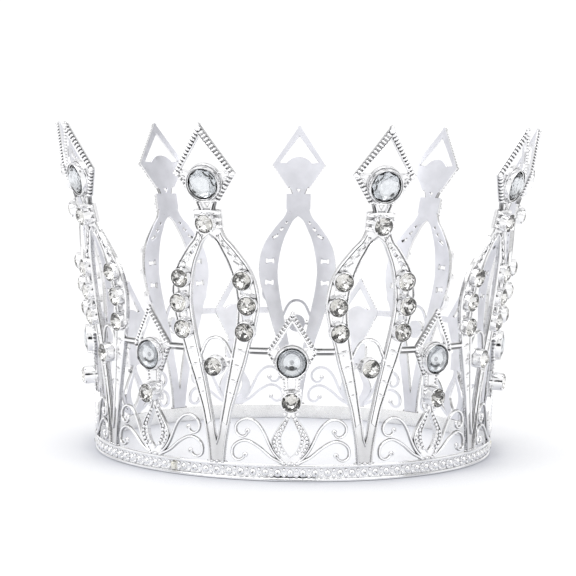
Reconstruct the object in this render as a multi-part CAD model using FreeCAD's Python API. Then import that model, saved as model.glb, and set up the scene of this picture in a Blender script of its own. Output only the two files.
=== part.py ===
import FreeCAD, Part
import math
import os

# ---------------------------------------------------------------------------
# Full-round filigree crown: a beaded base band in three cast arcs, nine tall
# kite-topped spires, nine small spires between them, and set round stones.
# Millimetres, +Z up, the band stands on z = 0 and its axis is Z.
# A small spire faces -Y.
# ---------------------------------------------------------------------------

# base band
BAND_OUTER_R = 70.0
BAND_INNER_R = 68.3
BAND_FLOOR_R = 69.4
BAND_H = 5.4
RIM_H = 1.3
BEAD_COUNT = 108
BEAD_R = 1.42
SMALL_BEAD_R = 0.62
BAND_ARCS = 3
SEAM_DEG = -100.0 / 3.0

# flare of the whole crown: wall radius at three heights
FLARE = ((69.59, 0.0), (74.018, 60.0), (90.434, 120.0))
WALL_IN = -0.9
WALL_OUT = 0.9
WEB_OUT = 0.3

# repeats
SECTORS = 9
SECTOR_DEG = 360.0 / SECTORS
TALL_OFFSET_DEG = SECTOR_DEG / 2.0

# stones
STONE_R = 2.98
STONE_BORE_R = 3.0
STONE_LEDGE_R = 2.7
STONE_CULET = 2.0
STONE_GIRDLE = 0.4
STONE_CROWN = 1.05
STONE_TABLE_R = 1.65
CUP_R = 3.4
TALL_GEM_R = 4.88
TALL_BEZEL_R = 5.75
SMALL_GEM_R = 4.63
SMALL_BEZEL_R = 5.3

# tall spire, half outline as (distance from its centreline, height)
TALL_TOP = 114.2
TALL_KITE = [(0.0, 114.2), (10.6, 98.6), (4.1, 89.3), (2.9, 88.9), (2.3, 87.2)]
COLLAR_S = 4.8
COLLAR_Z0, COLLAR_Z1 = 81.3, 87.2
TALL_OUTER = [
    (4.3, 81.3), (5.7, 78.0), (7.5, 76.0), (9.1, 74.0), (10.6, 72.0), (12.0, 70.0),
    (13.35, 67.5), (14.3, 65.0), (14.9, 62.2), (15.15, 60.0), (15.2, 57.5),
    (15.0, 55.0), (14.5, 52.6), (13.8, 50.0), (13.2, 48.0), (12.3, 45.5),
    (11.45, 42.8), (10.6, 39.7), (9.45, 36.0), (8.0, 31.7), (6.6, 27.0),
    (5.8, 24.5), (5.05, 21.6), (4.55, 19.0), (3.75, 15.0), (3.0, 10.0), (2.6, 5.4),
]
TALL_INNER = [
    (0.0, 78.6), (1.0, 77.9), (2.2, 76.6), (3.05, 75.0), (4.0, 73.0), (4.95, 71.0),
    (5.7, 69.0), (6.3, 67.0), (6.7, 65.3), (7.3, 62.2), (7.65, 59.5), (7.8, 57.0),
    (7.7, 55.0), (7.45, 52.5), (7.05, 49.5), (6.6, 47.0), (6.0, 44.0), (5.15, 40.0),
    (4.15, 35.0), (3.2, 30.5), (2.4, 26.0), (1.75, 22.5), (0.95, 18.0), (0.35, 14.0),
    (0.0, 12.5),
]
CREST_Z = 95.6
CREST_DISC_R = 6.1
TALL_NECK_Z = 83.5
BAND_STONES = [("upper", 10.4, 65.2), ("middle", 11.5, 57.1), ("lower", 10.4, 48.6)]
BAND_GIRDLE_N = 2.2
NECK_GIRDLE_N = 3.1
ARCH_STONE_Z = 37.05
ARCH_GIRDLE_N = 2.7
ARCH = [(6.2, 38.6), (4.95, 41.0), (4.0, 43.1), (2.6, 45.0), (0.0, 45.95)]
ARCH_W = 1.0
CHANNEL_RIM = 0.85
DIVIDERS_Z = [41.9, 36.8, 31.9, 27.6]

# small spire
SMALL_KITE = [(0.0, 55.2), (8.2, 42.3), (3.3, 32.7), (2.4, 30.0)]
SMALL_COLLAR_S = 3.3
SMALL_COLLAR_Z0, SMALL_COLLAR_Z1 = 23.8, 30.0
MARQUISE = [
    (1.0, 23.8), (1.6, 21.4), (2.9, 19.3), (4.5, 17.0), (5.8, 14.6), (6.3, 12.6),
    (5.9, 11.0), (4.7, 9.0), (3.2, 7.4),
]
MARQUISE_HOLE = [
    (0.0, 21.0), (1.1, 18.6), (2.2, 16.2), (2.9, 14.4), (3.0, 13.4), (2.6, 11.6),
    (1.6, 9.6), (0.0, 7.8),
]
FOOT_S = 3.2
SMALL_CREST_Z = 38.9
SMALL_NECK_Z = 26.3
SMALL_GIRDLE_N = 3.6
SCROLL_W = 1.05
UPPER_SCROLL = [
    (2.4, 6.2), (5.0, 8.7), (7.1, 12.2), (8.8, 15.8), (10.6, 18.3), (12.8, 19.8),
    (14.6, 20.0), (16.7, 19.1), (18.0, 17.1), (17.5, 15.1), (15.9, 14.2),
    (14.4, 14.8), (14.0, 16.0),
]
LOWER_SCROLL = [
    (2.4, 5.9), (6.6, 8.0), (9.5, 10.4), (12.0, 12.0), (14.5, 12.9), (16.8, 12.4),
    (18.7, 10.7), (19.1, 8.9), (18.7, 7.4), (17.3, 6.6), (15.7, 7.0), (14.7, 8.3),
]
SCROLL_DOT_R = 1.0
LINK_Z0, LINK_Z1 = 41.2, 43.2

V = FreeCAD.Vector


def circle_through(points):
    (x1, y1), (x2, y2), (x3, y3) = points
    d = 2 * (x1 * (y2 - y3) + x2 * (y3 - y1) + x3 * (y1 - y2))
    q1, q2, q3 = x1 * x1 + y1 * y1, x2 * x2 + y2 * y2, x3 * x3 + y3 * y3
    cx = (q1 * (y2 - y3) + q2 * (y3 - y1) + q3 * (y1 - y2)) / d
    cy = (q1 * (x3 - x2) + q2 * (x1 - x3) + q3 * (x2 - x1)) / d
    return cx, cy, math.hypot(x1 - cx, y1 - cy)


FLARE_X, FLARE_Z, FLARE_RHO = circle_through(FLARE)


def wall_r(z, n=0.0):
    """Radius of the flared wall at height z, offset n along its normal."""
    rho = FLARE_RHO - n
    return FLARE_X - math.sqrt(rho * rho - (z - FLARE_Z) ** 2)


def tilt(z):
    """Angle of the wall's outward normal below the horizontal."""
    return math.asin((z - FLARE_Z) / FLARE_RHO)


def flat(s, z):
    """A point of the panel, drawn on the plane that the outline is extruded from."""
    r = wall_r(z)
    return V(r * math.sin(s / r), 0, z)


def seat(s, z, n=0.0):
    """Placement on the wall: local z is the outward normal and local x runs round the crown."""
    r, a = wall_r(z), tilt(z)
    t = s / r
    nx = V(math.cos(a) * math.sin(t), -math.cos(a) * math.cos(t), -math.sin(a))
    x = V(math.cos(t), math.sin(t), 0)
    y = nx.cross(x)
    p = V(r * math.sin(t), -r * math.cos(t), z) + nx * n
    return FreeCAD.Placement(
        FreeCAD.Matrix(
            x.x, y.x, nx.x, p.x, x.y, y.y, nx.y, p.y, x.z, y.z, nx.z, p.z, 0, 0, 0, 1
        )
    )


def shell(n0, n1, z0, z1, half=25.0):
    """A sector of the flared wall between two normal offsets, centred on -Y."""

    def at(n, z):
        return V(wall_r(z, n), 0, z)

    zm = (z0 + z1) / 2
    edges = [
        Part.Arc(at(n0, z0), at(n0, zm), at(n0, z1)).toShape(),
        Part.LineSegment(at(n0, z1), at(n1, z1)).toShape(),
        Part.Arc(at(n1, z1), at(n1, zm), at(n1, z0)).toShape(),
        Part.LineSegment(at(n1, z0), at(n0, z0)).toShape(),
    ]
    face = Part.Face(Part.Wire(edges))
    face.rotate(V(0, 0, 0), V(0, 0, 1), -90 - half)
    return face.revolve(V(0, 0, 0), V(0, 0, 1), 2 * half)


def edge(points):
    """A straight edge through two panel points, or a smooth one through more."""
    p = [flat(s, z) for s, z in points]
    if len(p) == 2:
        return Part.LineSegment(p[0], p[1]).toShape()
    c = Part.BSplineCurve()
    c.interpolate(p)
    return c.toShape()


def prism(runs):
    """Extrude the closed outline made of runs of panel points through the wall."""
    wire = Part.Wire([edge(r) for r in runs])
    return Part.Face(wire).extrude(V(0, -110, 0))


def mirrored(points):
    return [(-s, z) for s, z in points][::-1]


def straight(points):
    return [[points[i], points[i + 1]] for i in range(len(points) - 1)]


def smooth(table, z):
    """Monotone reading of a (s, z) table at height z, with z falling along the table."""
    for i in range(len(table) - 1):
        (s0, z0), (s1, z1) = table[i], table[i + 1]
        if z1 <= z <= z0:
            t = (z0 - z) / (z0 - z1)

            def slope(k):
                if k <= 0 or k >= len(table) - 1:
                    k0, k1 = max(k - 1, 0), min(k + 1, len(table) - 1)
                else:
                    k0, k1 = k - 1, k + 1
                return (table[k1][0] - table[k0][0]) / (table[k1][1] - table[k0][1])

            h = z1 - z0
            m0, m1 = slope(i) * h, slope(i + 1) * h
            return (
                (2 * t**3 - 3 * t * t + 1) * s0
                + (t**3 - 2 * t * t + t) * m0
                + (-2 * t**3 + 3 * t * t) * s1
                + (t**3 - t * t) * m1
            )
    return table[-1][0]


def beside(table, z0, z1, d, count):
    """Points along a table's edge from z0 to z1, moved d to its right-hand side (away from the centreline for d > 0)."""
    out = []
    for i in range(count):
        z = z0 + (z1 - z0) * i / (count - 1)
        ds = smooth(table, z + 0.05) - smooth(table, z - 0.05)
        k = math.hypot(ds, 0.1)
        out.append((smooth(table, z) + d * 0.1 / k, z - d * ds / k))
    return out


def ribbon(points, w):
    """Runs of a closed outline that follows a path with width w and square ends."""
    c = Part.BSplineCurve()
    c.interpolate([V(s, z, 0) for s, z in points])
    n = 4 * len(points)
    a, b = [], []
    for i in range(n + 1):
        u = c.FirstParameter + (c.LastParameter - c.FirstParameter) * i / n
        p, t = c.value(u), c.tangent(u)[0]
        a.append((p.x - t.y * w / 2, p.y + t.x * w / 2))
        b.append((p.x + t.y * w / 2, p.y - t.x * w / 2))
    b = b[::-1]
    return [a, [a[-1], b[0]], b, [b[-1], a[0]]]


def round_panel(s, z, r, n0, n1):
    c = Part.makeCylinder(r, n1 - n0, V(0, 0, n0))
    c.Placement = seat(s, z)
    return c


def cup(s, z, girdle_n, r_out=CUP_R):
    """A closed round cup that stands on the wall and takes one pointed stone."""
    top = girdle_n + STONE_GIRDLE + 0.15
    body = Part.makeCylinder(r_out, top + 0.6, V(0, 0, -0.6))
    body = body.cut(Part.makeCylinder(STONE_BORE_R, top - girdle_n + 1, V(0, 0, girdle_n)))
    body = body.cut(
        Part.makeCone(0.4, STONE_LEDGE_R, STONE_CULET + 0.3, V(0, 0, girdle_n - STONE_CULET - 0.3))
    )
    body.Placement = seat(s, z)
    return body


def bezel(s, z, r_out, r_in, floor_n, top_n, back_n=WALL_IN):
    body = Part.makeCylinder(r_out, top_n - back_n, V(0, 0, back_n))
    body = body.cut(Part.makeCylinder(r_in, top_n - floor_n + 1, V(0, 0, floor_n)))
    body.Placement = seat(s, z)
    return body


def ring(r, z, count, turn=0.0):
    return [
        V(
            r * math.cos(2 * math.pi * (i + turn) / count),
            r * math.sin(2 * math.pi * (i + turn) / count),
            z,
        )
        for i in range(count)
    ]


def solid_of(faces):
    made = []
    for loops in faces:
        wires = [Part.makePolygon(p + [p[0]]) for p in loops]
        made.append(Part.Face(wires))
    s = Part.makeSolid(Part.makeShell(made))
    if s.Volume < 0:
        s.reverse()
    return s


def crown_facets(low, table):
    """Triangles between a girdle of 16 points and a table of 8 points."""
    out = []
    n = len(table)
    for k in range(n):
        a, b = table[k], table[(k + 1) % n]
        g0, g1, g2 = low[2 * k], low[(2 * k + 1) % 16], low[(2 * k + 2) % 16]
        out += [[[a, g0, g1]], [[a, g1, b]], [[b, g1, g2]]]
    return out


def pointed_stone():
    """Round stone with a table, 24 crown facets, a girdle and a pointed back."""
    g0 = ring(STONE_R, 0, 16)
    g1 = ring(STONE_R, STONE_GIRDLE, 16)
    t = ring(STONE_TABLE_R, STONE_GIRDLE + STONE_CROWN, 8)
    p = ring(STONE_LEDGE_R - 0.12, 0, 16)
    culet = V(0, 0, -STONE_CULET)
    faces = [[t]] + crown_facets(g1, t) + [[g0, p]]
    for i in range(16):
        j = (i + 1) % 16
        faces.append([[g0[i], g0[j], g1[j], g1[i]]])
        faces.append([[p[j], p[i], culet]])
    return solid_of(faces)


def flat_back_stone(r, girdle, crown, table_r):
    """Round stone with a table, two rows of crown facets, a girdle and a flat back."""
    g0 = ring(r, 0, 16)
    g1 = ring(r, girdle, 16)
    m = ring(r * 0.80, girdle + crown * 0.55, 16)
    t = ring(table_r, girdle + crown, 8)
    faces = [[t], [g0]] + crown_facets(m, t)
    for i in range(16):
        j = (i + 1) % 16
        faces.append([[g0[i], g0[j], g1[j], g1[i]]])
        faces.append([[g1[i], g1[j], m[i]]])
        faces.append([[g1[j], m[j], m[i]]])
    return solid_of(faces)


def placed(shape, s, z, n):
    c = shape.copy()
    c.Placement = seat(s, z, n)
    return c


def turned(shape, degrees):
    c = shape.copy()
    c.rotate(V(0, 0, 0), V(0, 0, 1), degrees)
    return c


def one(shape):
    """The single solid of a boolean result."""
    if len(shape.Solids) != 1:
        raise ValueError("expected one solid, got %d" % len(shape.Solids))
    return shape.Solids[0]


def arc_run(cz, r, a0, a1, count=13):
    """Panel points on a circle about (0, cz), angles in degrees from +s towards +z."""
    return [
        (
            r * math.cos(math.radians(a0 + (a1 - a0) * i / (count - 1))),
            cz + r * math.sin(math.radians(a0 + (a1 - a0) * i / (count - 1))),
        )
        for i in range(count)
    ]


# ---------------------------------------------------------------------------
# tall spire
# ---------------------------------------------------------------------------
def tall_outline():
    right = straight(TALL_KITE)
    right += [
        [TALL_KITE[-1], (COLLAR_S, COLLAR_Z1)],
        [(COLLAR_S, COLLAR_Z1), (COLLAR_S, COLLAR_Z0)],
        [(COLLAR_S, COLLAR_Z0), TALL_OUTER[0]],
        TALL_OUTER,
    ]
    left = [mirrored(r) for r in right[::-1]]
    foot = [[TALL_OUTER[-1], (-TALL_OUTER[-1][0], TALL_OUTER[-1][1])]]
    return right + foot + left


def kite_window(top, side, low, cz, r):
    """Opening of a kite above the disc that backs its stone."""
    a = math.degrees(math.asin((low[1] - cz) / r))
    return [
        [top, side],
        [side, low],
        arc_run(cz, r, a, 180 - a),
        [(-low[0], low[1]), (-side[0], side[1])],
        [(-side[0], side[1]), top],
    ]


def channel_cell(zi0, zi1, zo0, zo1, count=9):
    """Runs of one sunk cell between the rims of the curved side band."""
    a = beside(TALL_INNER, zi0, zi1, CHANNEL_RIM, count)
    b = beside(TALL_OUTER, zo1, zo0, -CHANNEL_RIM, count)
    return [a, [a[-1], b[0]], b, [b[-1], a[0]]]


def slot(s, z, w, h, lean=0.0):
    """Runs of a slot of width w and height h that leans by some degrees."""
    c, d = math.cos(math.radians(lean)), math.sin(math.radians(lean))
    q = [(-w / 2, -h / 2), (w / 2, -h / 2), (w / 2, h / 2), (-w / 2, h / 2)]
    if h > 1.5:
        # the larger slots are waisted, with a wider bar at each end
        e, k = w / 2 - 0.8, h / 2 - 0.45
        q = [
            (-w / 2, -h / 2), (-e, -h / 2), (-e + 0.2, -k), (e - 0.2, -k), (e, -h / 2), (w / 2, -h / 2),
            (w / 2, h / 2), (e, h / 2), (e - 0.2, k), (-e + 0.2, k), (-e, h / 2), (-w / 2, h / 2),
        ]
    p = [(s + x * c - y * d, z + x * d + y * c) for x, y in q]
    return straight(p + [p[0]])


def tall_spire():
    wall = shell(WALL_IN, WALL_OUT, BAND_H, TALL_TOP + 3)
    blank = prism(tall_outline()).common(wall)
    cuts = []
    # the big almond opening, its solid foot stays below
    cuts.append(prism([TALL_INNER, mirrored(TALL_INNER)]))
    # window of the kite and the little opening under the stone
    low = (4.95, CREST_Z + math.sqrt(CREST_DISC_R**2 - 4.95**2))
    cuts.append(prism(kite_window((0, 110.0), (7.9, 99.4), low, CREST_Z, CREST_DISC_R)))
    cuts.append(prism(straight([(-0.9, 89.2), (0.9, 89.2), (0, 87.7), (-0.9, 89.2)])))
    # through-slots between the stones and up the shoulder
    for side in (1, -1):
        for s, z, w, h, lean in (
            (10.9, 61.2, 3.4, 2.0, -6),
            (11.0, 52.8, 3.4, 2.0, 6),
            (8.9, 70.6, 2.6, 1.0, -30),
            (6.5, 73.4, 1.5, 0.9, -40),
            (4.6, 75.9, 1.1, 0.8, -42),
        ):
            cuts.append(prism(slot(side * s, z, w, h, side * lean)))
    # sunk channel with its cells
    floor = shell(WEB_OUT, WALL_OUT + 2, BAND_H, TALL_TOP)
    half_div = 0.38
    cells = [(74.3, 43.6, 77.0, 42.9)]
    zs = DIVIDERS_Z + [17.5]
    for i in range(len(zs) - 1):
        cells.append((zs[i] - half_div, zs[i + 1] + half_div, zs[i] - half_div, zs[i + 1] + half_div))
    for k, (a, b, c, d) in enumerate(cells):
        cell = prism(channel_cell(a, b, c, d, 15 if k == 0 else 7)).common(floor)
        cuts.append(cell)
        cuts.append(cell.mirror(V(0, 0, 0), V(1, 0, 0)))
    body = blank.cut(cuts)
    adds = []
    # arch wire, its stone cup and the two ties that hold the cup
    thin = shell(-0.7, 0.5, BAND_H, TALL_TOP)
    arch = ARCH + [(-s, z) for s, z in ARCH[-2::-1]]
    adds.append(prism(ribbon(arch, ARCH_W)).common(thin))
    tie = [(-5.4, 36.4), (5.4, 36.4), (5.4, 37.5), (-5.4, 37.5), (-5.4, 36.4)]
    tie = prism(straight(tie)).common(thin)
    adds.append(tie.cut(round_panel(0, ARCH_STONE_Z, 3.0, -3, 3)))
    adds.append(cup(0, ARCH_STONE_Z, ARCH_GIRDLE_N))
    # stone cups on the side bands
    for _, s, z in BAND_STONES:
        adds.append(cup(s, z, BAND_GIRDLE_N))
        adds.append(cup(-s, z, BAND_GIRDLE_N))
    # collar ribs and the neck cup
    ribs = shell(0.2, 1.7, BAND_H, TALL_TOP)
    for z in (82.1, 84.25, 86.4):
        r = [(-COLLAR_S, z - 0.6), (COLLAR_S, z - 0.6), (COLLAR_S, z + 0.6), (-COLLAR_S, z + 0.6), (-COLLAR_S, z - 0.6)]
        adds.append(prism(straight(r)).common(ribs))
    neck = cup(0, TALL_NECK_Z, NECK_GIRDLE_N)
    body = body.fuse(adds)
    body = body.cut(round_panel(0, TALL_NECK_Z, 2.6, 0.9, 6)).fuse(neck)
    # setting of the crest stone
    body = body.fuse(bezel(0, CREST_Z, TALL_BEZEL_R, TALL_GEM_R + 0.02, 0.6, 2.5))
    body = body.cut(round_panel(0, CREST_Z, TALL_GEM_R + 0.02, 0.6, 4))
    return one(body), one(blank)


# ---------------------------------------------------------------------------
# small spire
# ---------------------------------------------------------------------------
def small_outline():
    right = straight(SMALL_KITE)
    right += [
        [SMALL_KITE[-1], (SMALL_COLLAR_S, SMALL_COLLAR_Z1)],
        [(SMALL_COLLAR_S, SMALL_COLLAR_Z1), (SMALL_COLLAR_S, SMALL_COLLAR_Z0)],
        [(SMALL_COLLAR_S, SMALL_COLLAR_Z0), MARQUISE[0]],
        MARQUISE,
        [MARQUISE[-1], (FOOT_S, BAND_H)],
    ]
    left = [mirrored(r) for r in right[::-1]]
    return right + [[(FOOT_S, BAND_H), (-FOOT_S, BAND_H)]] + left


def small_spire(tall_blank):
    wall = shell(WALL_IN, WALL_OUT, BAND_H, 60)
    body = prism(small_outline()).common(wall)
    cuts = []
    r = 5.5
    low = (3.6, SMALL_CREST_Z + math.sqrt(r * r - 3.6**2))
    cuts.append(prism(kite_window((0, 51.3), (4.9, 43.5), low, SMALL_CREST_Z, r)))
    cuts.append(prism([MARQUISE_HOLE, mirrored(MARQUISE_HOLE)]))
    body = body.cut(cuts)
    adds = []
    thin = shell(-0.6, 0.6, BAND_H, 60)
    for path in (UPPER_SCROLL, LOWER_SCROLL):
        wire = prism(ribbon(path, SCROLL_W)).common(thin)
        s, z = path[-1]
        dot = round_panel(s, z, SCROLL_DOT_R, -0.6, 0.7)
        for part in (wire, dot):
            adds.append(part)
            adds.append(part.mirror(V(0, 0, 0), V(1, 0, 0)))
    # links out to the two tall spires, cut to meet them face to face
    bar = shell(-0.6, 0.7, LINK_Z0, LINK_Z1)
    for side in (1, -1):
        b = [(side * 7.2, LINK_Z0 - 1), (side * 16.5, LINK_Z0 - 1), (side * 16.5, LINK_Z1 + 1), (side * 7.2, LINK_Z1 + 1)]
        b = prism(straight(b + [b[0]])).common(bar)
        b = b.cut(turned(tall_blank, side * TALL_OFFSET_DEG))
        b = sorted(b.Solids, key=lambda x: abs(x.CenterOfMass.x))[0]
        adds.append(b)
    ribs = shell(0.2, 1.5, BAND_H, 60)
    for z in (24.6, 26.9, 29.2):
        q = [(-SMALL_COLLAR_S, z - 0.6), (SMALL_COLLAR_S, z - 0.6), (SMALL_COLLAR_S, z + 0.6), (-SMALL_COLLAR_S, z + 0.6)]
        adds.append(prism(straight(q + [q[0]])).common(ribs))
    body = body.fuse(adds)
    body = body.cut(round_panel(0, SMALL_NECK_Z, 2.6, 0.9, 7)).fuse(cup(0, SMALL_NECK_Z, SMALL_GIRDLE_N, 3.3))
    body = body.fuse(bezel(0, SMALL_CREST_Z, SMALL_BEZEL_R, SMALL_GEM_R + 0.02, 0.6, 2.5))
    body = body.cut(round_panel(0, SMALL_CREST_Z, SMALL_GEM_R + 0.02, 0.6, 4))
    return one(body)


# ---------------------------------------------------------------------------
# base band
# ---------------------------------------------------------------------------
def band_arc():
    """One third of the base band from one seam to the next, with its beads."""
    span = 360.0 / BAND_ARCS
    pts = [
        (BAND_INNER_R, 0), (BAND_OUTER_R, 0), (BAND_OUTER_R, RIM_H), (BAND_FLOOR_R, RIM_H),
        (BAND_FLOOR_R, BAND_H - RIM_H), (BAND_OUTER_R, BAND_H - RIM_H), (BAND_OUTER_R, BAND_H),
        (BAND_INNER_R, BAND_H),
    ]
    p = [V(x, 0, z) for x, z in pts]
    face = Part.Face(Part.makePolygon(p + [p[0]]))
    face.rotate(V(0, 0, 0), V(0, 0, 1), -90 + SEAM_DEG)
    body = face.revolve(V(0, 0, 0), V(0, 0, 1), span)
    pitch = 360.0 / BEAD_COUNT
    adds = []
    per_arc = BEAD_COUNT // BAND_ARCS
    for i in range(per_arc + 1):
        a = SEAM_DEG + i * pitch
        if 0 < i < per_arc:
            t = math.radians(a)
            c = V(BAND_FLOOR_R * math.sin(t), -BAND_FLOOR_R * math.cos(t), BAND_H / 2)
            adds.append(Part.makeSphere(BEAD_R, c))
        if i < per_arc:
            t = math.radians(a + pitch / 2)
            for z in (1.75, BAND_H - 1.75):
                c = V(BAND_FLOOR_R * math.sin(t), -BAND_FLOOR_R * math.cos(t), z)
                adds.append(Part.makeSphere(SMALL_BEAD_R, c))
    zone = Part.makeCylinder(BAND_OUTER_R + 3, BAND_H).cut(
        Part.makeCylinder(BAND_INNER_R + 0.4, BAND_H)
    )
    adds = [a.common(zone) for a in adds]
    return one(body.fuse(adds))


def splice_tab():
    """Little upright plate brazed across a seam of the band."""
    t = Part.makeBox(1.5, 1.2, 2.6, V(-0.75, -BAND_FLOOR_R - 1.15, (BAND_H - 2.6) / 2))
    inner = Part.makeCylinder(BAND_FLOOR_R, BAND_H)
    return one(turned(t.cut(inner), SEAM_DEG))


def write(name, shapes):
    shape = shapes[0] if len(shapes) == 1 else Part.makeCompound(shapes)
    shape.exportStep("parts/%s.step" % name)


os.makedirs("parts", exist_ok=True)

arc = band_arc()
for i in range(BAND_ARCS):
    write("base_band_arc_%d" % (i + 1), [turned(arc, i * 360.0 / BAND_ARCS)])
tab = splice_tab()
write("band_splice_tabs", [turned(tab, i * 360.0 / BAND_ARCS) for i in range(BAND_ARCS)])

tall, tall_blank = tall_spire()
small = small_spire(tall_blank)
tall_at = [TALL_OFFSET_DEG + i * SECTOR_DEG for i in range(SECTORS)]
small_at = [i * SECTOR_DEG for i in range(SECTORS)]
for i in range(SECTORS):
    write("tall_spire_%d" % (i + 1), [turned(tall, tall_at[i])])
    write("small_spire_%d" % (i + 1), [turned(small, small_at[i])])

stone = pointed_stone()
crest = flat_back_stone(TALL_GEM_R, 0.8, 2.0, 2.6)
small_crest = flat_back_stone(SMALL_GEM_R, 0.8, 2.0, 2.4)
write("tall_crest_gems", [turned(placed(crest, 0, CREST_Z, 0.6), a) for a in tall_at])
write("small_crest_gems", [turned(placed(small_crest, 0, SMALL_CREST_Z, 0.6), a) for a in small_at])
write("tall_neck_chatons", [turned(placed(stone, 0, TALL_NECK_Z, NECK_GIRDLE_N), a) for a in tall_at])
write("small_neck_chatons", [turned(placed(stone, 0, SMALL_NECK_Z, SMALL_GIRDLE_N), a) for a in small_at])
write("arch_chatons", [turned(placed(stone, 0, ARCH_STONE_Z, ARCH_GIRDLE_N), a) for a in tall_at])
for name, s, z in BAND_STONES:
    pair = [placed(stone, s, z, BAND_GIRDLE_N), placed(stone, -s, z, BAND_GIRDLE_N)]
    write("%s_band_chatons" % name, [turned(p, a) for a in tall_at for p in pair])
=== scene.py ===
import bpy
import bmesh
import math
import random
import numpy as np
from mathutils import Matrix, Vector
from mathutils.geometry import delaunay_2d_cdt


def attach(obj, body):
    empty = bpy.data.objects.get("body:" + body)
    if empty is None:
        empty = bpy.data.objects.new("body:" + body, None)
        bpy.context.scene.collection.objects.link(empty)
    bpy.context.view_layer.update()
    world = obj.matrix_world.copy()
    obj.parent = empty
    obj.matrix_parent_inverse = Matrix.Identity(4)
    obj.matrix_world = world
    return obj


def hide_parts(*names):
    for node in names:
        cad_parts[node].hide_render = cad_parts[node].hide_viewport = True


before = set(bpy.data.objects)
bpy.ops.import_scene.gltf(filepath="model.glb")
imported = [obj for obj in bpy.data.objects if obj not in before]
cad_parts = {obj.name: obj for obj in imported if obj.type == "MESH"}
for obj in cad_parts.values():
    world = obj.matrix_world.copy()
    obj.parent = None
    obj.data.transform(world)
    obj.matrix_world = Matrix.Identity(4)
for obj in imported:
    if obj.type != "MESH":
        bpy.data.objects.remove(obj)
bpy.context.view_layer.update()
random.seed(7)

# ---------------------------------------------------------------------------
# the same wall and tables as the CAD, in millimetres
# ---------------------------------------------------------------------------
FLARE = ((69.59, 0.0), (74.018, 60.0), (90.434, 120.0))
WALL_IN = -0.9
BAND_OUTER_R, BAND_INNER_R, BAND_FLOOR_R, BAND_H, RIM_H = 70.0, 68.3, 69.4, 5.4, 1.3
BEAD_COUNT, BEAD_R, SMALL_BEAD_R = 108, 1.42, 0.62
SEAM_DEG = -100.0 / 3.0
TALL_KITE = [(0.0, 114.2), (10.6, 98.6), (4.1, 89.3), (2.9, 88.9), (2.3, 87.2)]
COLLAR_S, COLLAR_Z0, COLLAR_Z1 = 4.8, 81.3, 87.2
TALL_OUTER = [
    (4.3, 81.3), (5.7, 78.0), (7.5, 76.0), (9.1, 74.0), (10.6, 72.0), (12.0, 70.0),
    (13.35, 67.5), (14.3, 65.0), (14.9, 62.2), (15.15, 60.0), (15.2, 57.5),
    (15.0, 55.0), (14.5, 52.6), (13.8, 50.0), (13.2, 48.0), (12.3, 45.5),
    (11.45, 42.8), (10.6, 39.7), (9.45, 36.0), (8.0, 31.7), (6.6, 27.0),
    (5.8, 24.5), (5.05, 21.6), (4.55, 19.0), (3.75, 15.0), (3.0, 10.0), (2.6, 5.4),
]
TALL_INNER = [
    (0.0, 78.6), (1.0, 77.9), (2.2, 76.6), (3.05, 75.0), (4.0, 73.0), (4.95, 71.0),
    (5.7, 69.0), (6.3, 67.0), (6.7, 65.3), (7.3, 62.2), (7.65, 59.5), (7.8, 57.0),
    (7.7, 55.0), (7.45, 52.5), (7.05, 49.5), (6.6, 47.0), (6.0, 44.0), (5.15, 40.0),
    (4.15, 35.0), (3.2, 30.5), (2.4, 26.0), (1.75, 22.5), (0.95, 18.0), (0.35, 14.0),
    (0.0, 12.5),
]
CREST_Z, CREST_DISC_R, TALL_NECK_Z = 95.6, 6.1, 83.5
TALL_GEM_R, TALL_BEZEL_R, SMALL_GEM_R, SMALL_BEZEL_R = 4.88, 5.75, 4.63, 5.3
BAND_STONES = [("upper", 10.4, 65.2), ("middle", 11.5, 57.1), ("lower", 10.4, 48.6)]
BAND_GIRDLE_N, NECK_GIRDLE_N, ARCH_STONE_Z, ARCH_GIRDLE_N = 2.2, 3.1, 37.05, 2.7
ARCH = [(6.2, 38.6), (4.95, 41.0), (4.0, 43.1), (2.6, 45.0), (0.0, 45.95)]
DIVIDERS_Z = [41.9, 36.8, 31.9, 27.6]
SMALL_KITE = [(0.0, 55.2), (8.2, 42.3), (3.3, 32.7), (2.4, 30.0)]
SMALL_COLLAR_S, SMALL_COLLAR_Z0, SMALL_COLLAR_Z1 = 3.3, 23.8, 30.0
MARQUISE = [
    (1.0, 23.8), (1.6, 21.4), (2.9, 19.3), (4.5, 17.0), (5.8, 14.6), (6.3, 12.6),
    (5.9, 11.0), (4.7, 9.0), (3.2, 7.4),
]
MARQUISE_HOLE = [
    (0.0, 21.0), (1.1, 18.6), (2.2, 16.2), (2.9, 14.4), (3.0, 13.4), (2.6, 11.6),
    (1.6, 9.6), (0.0, 7.8),
]
FOOT_S, SMALL_CREST_Z, SMALL_NECK_Z, SMALL_GIRDLE_N = 3.2, 38.9, 26.3, 3.6
UPPER_SCROLL = [
    (2.4, 6.2), (5.0, 8.7), (7.1, 12.2), (8.8, 15.8), (10.6, 18.3), (12.8, 19.8),
    (14.6, 20.0), (16.7, 19.1), (18.0, 17.1), (17.5, 15.1), (15.9, 14.2),
    (14.4, 14.8), (14.0, 16.0),
]
LOWER_SCROLL = [
    (2.4, 5.9), (6.6, 8.0), (9.5, 10.4), (12.0, 12.0), (14.5, 12.9), (16.8, 12.4),
    (18.7, 10.7), (19.1, 8.9), (18.7, 7.4), (17.3, 6.6), (15.7, 7.0), (14.7, 8.3),
]
LINK_Z0, LINK_Z1 = 41.2, 43.2
STONE_R, STONE_LEDGE_R, STONE_CULET, STONE_GIRDLE, STONE_CROWN, STONE_TABLE_R = (
    2.98, 2.58, 2.0, 0.4, 1.05, 1.65,
)
MM = 0.001


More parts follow.
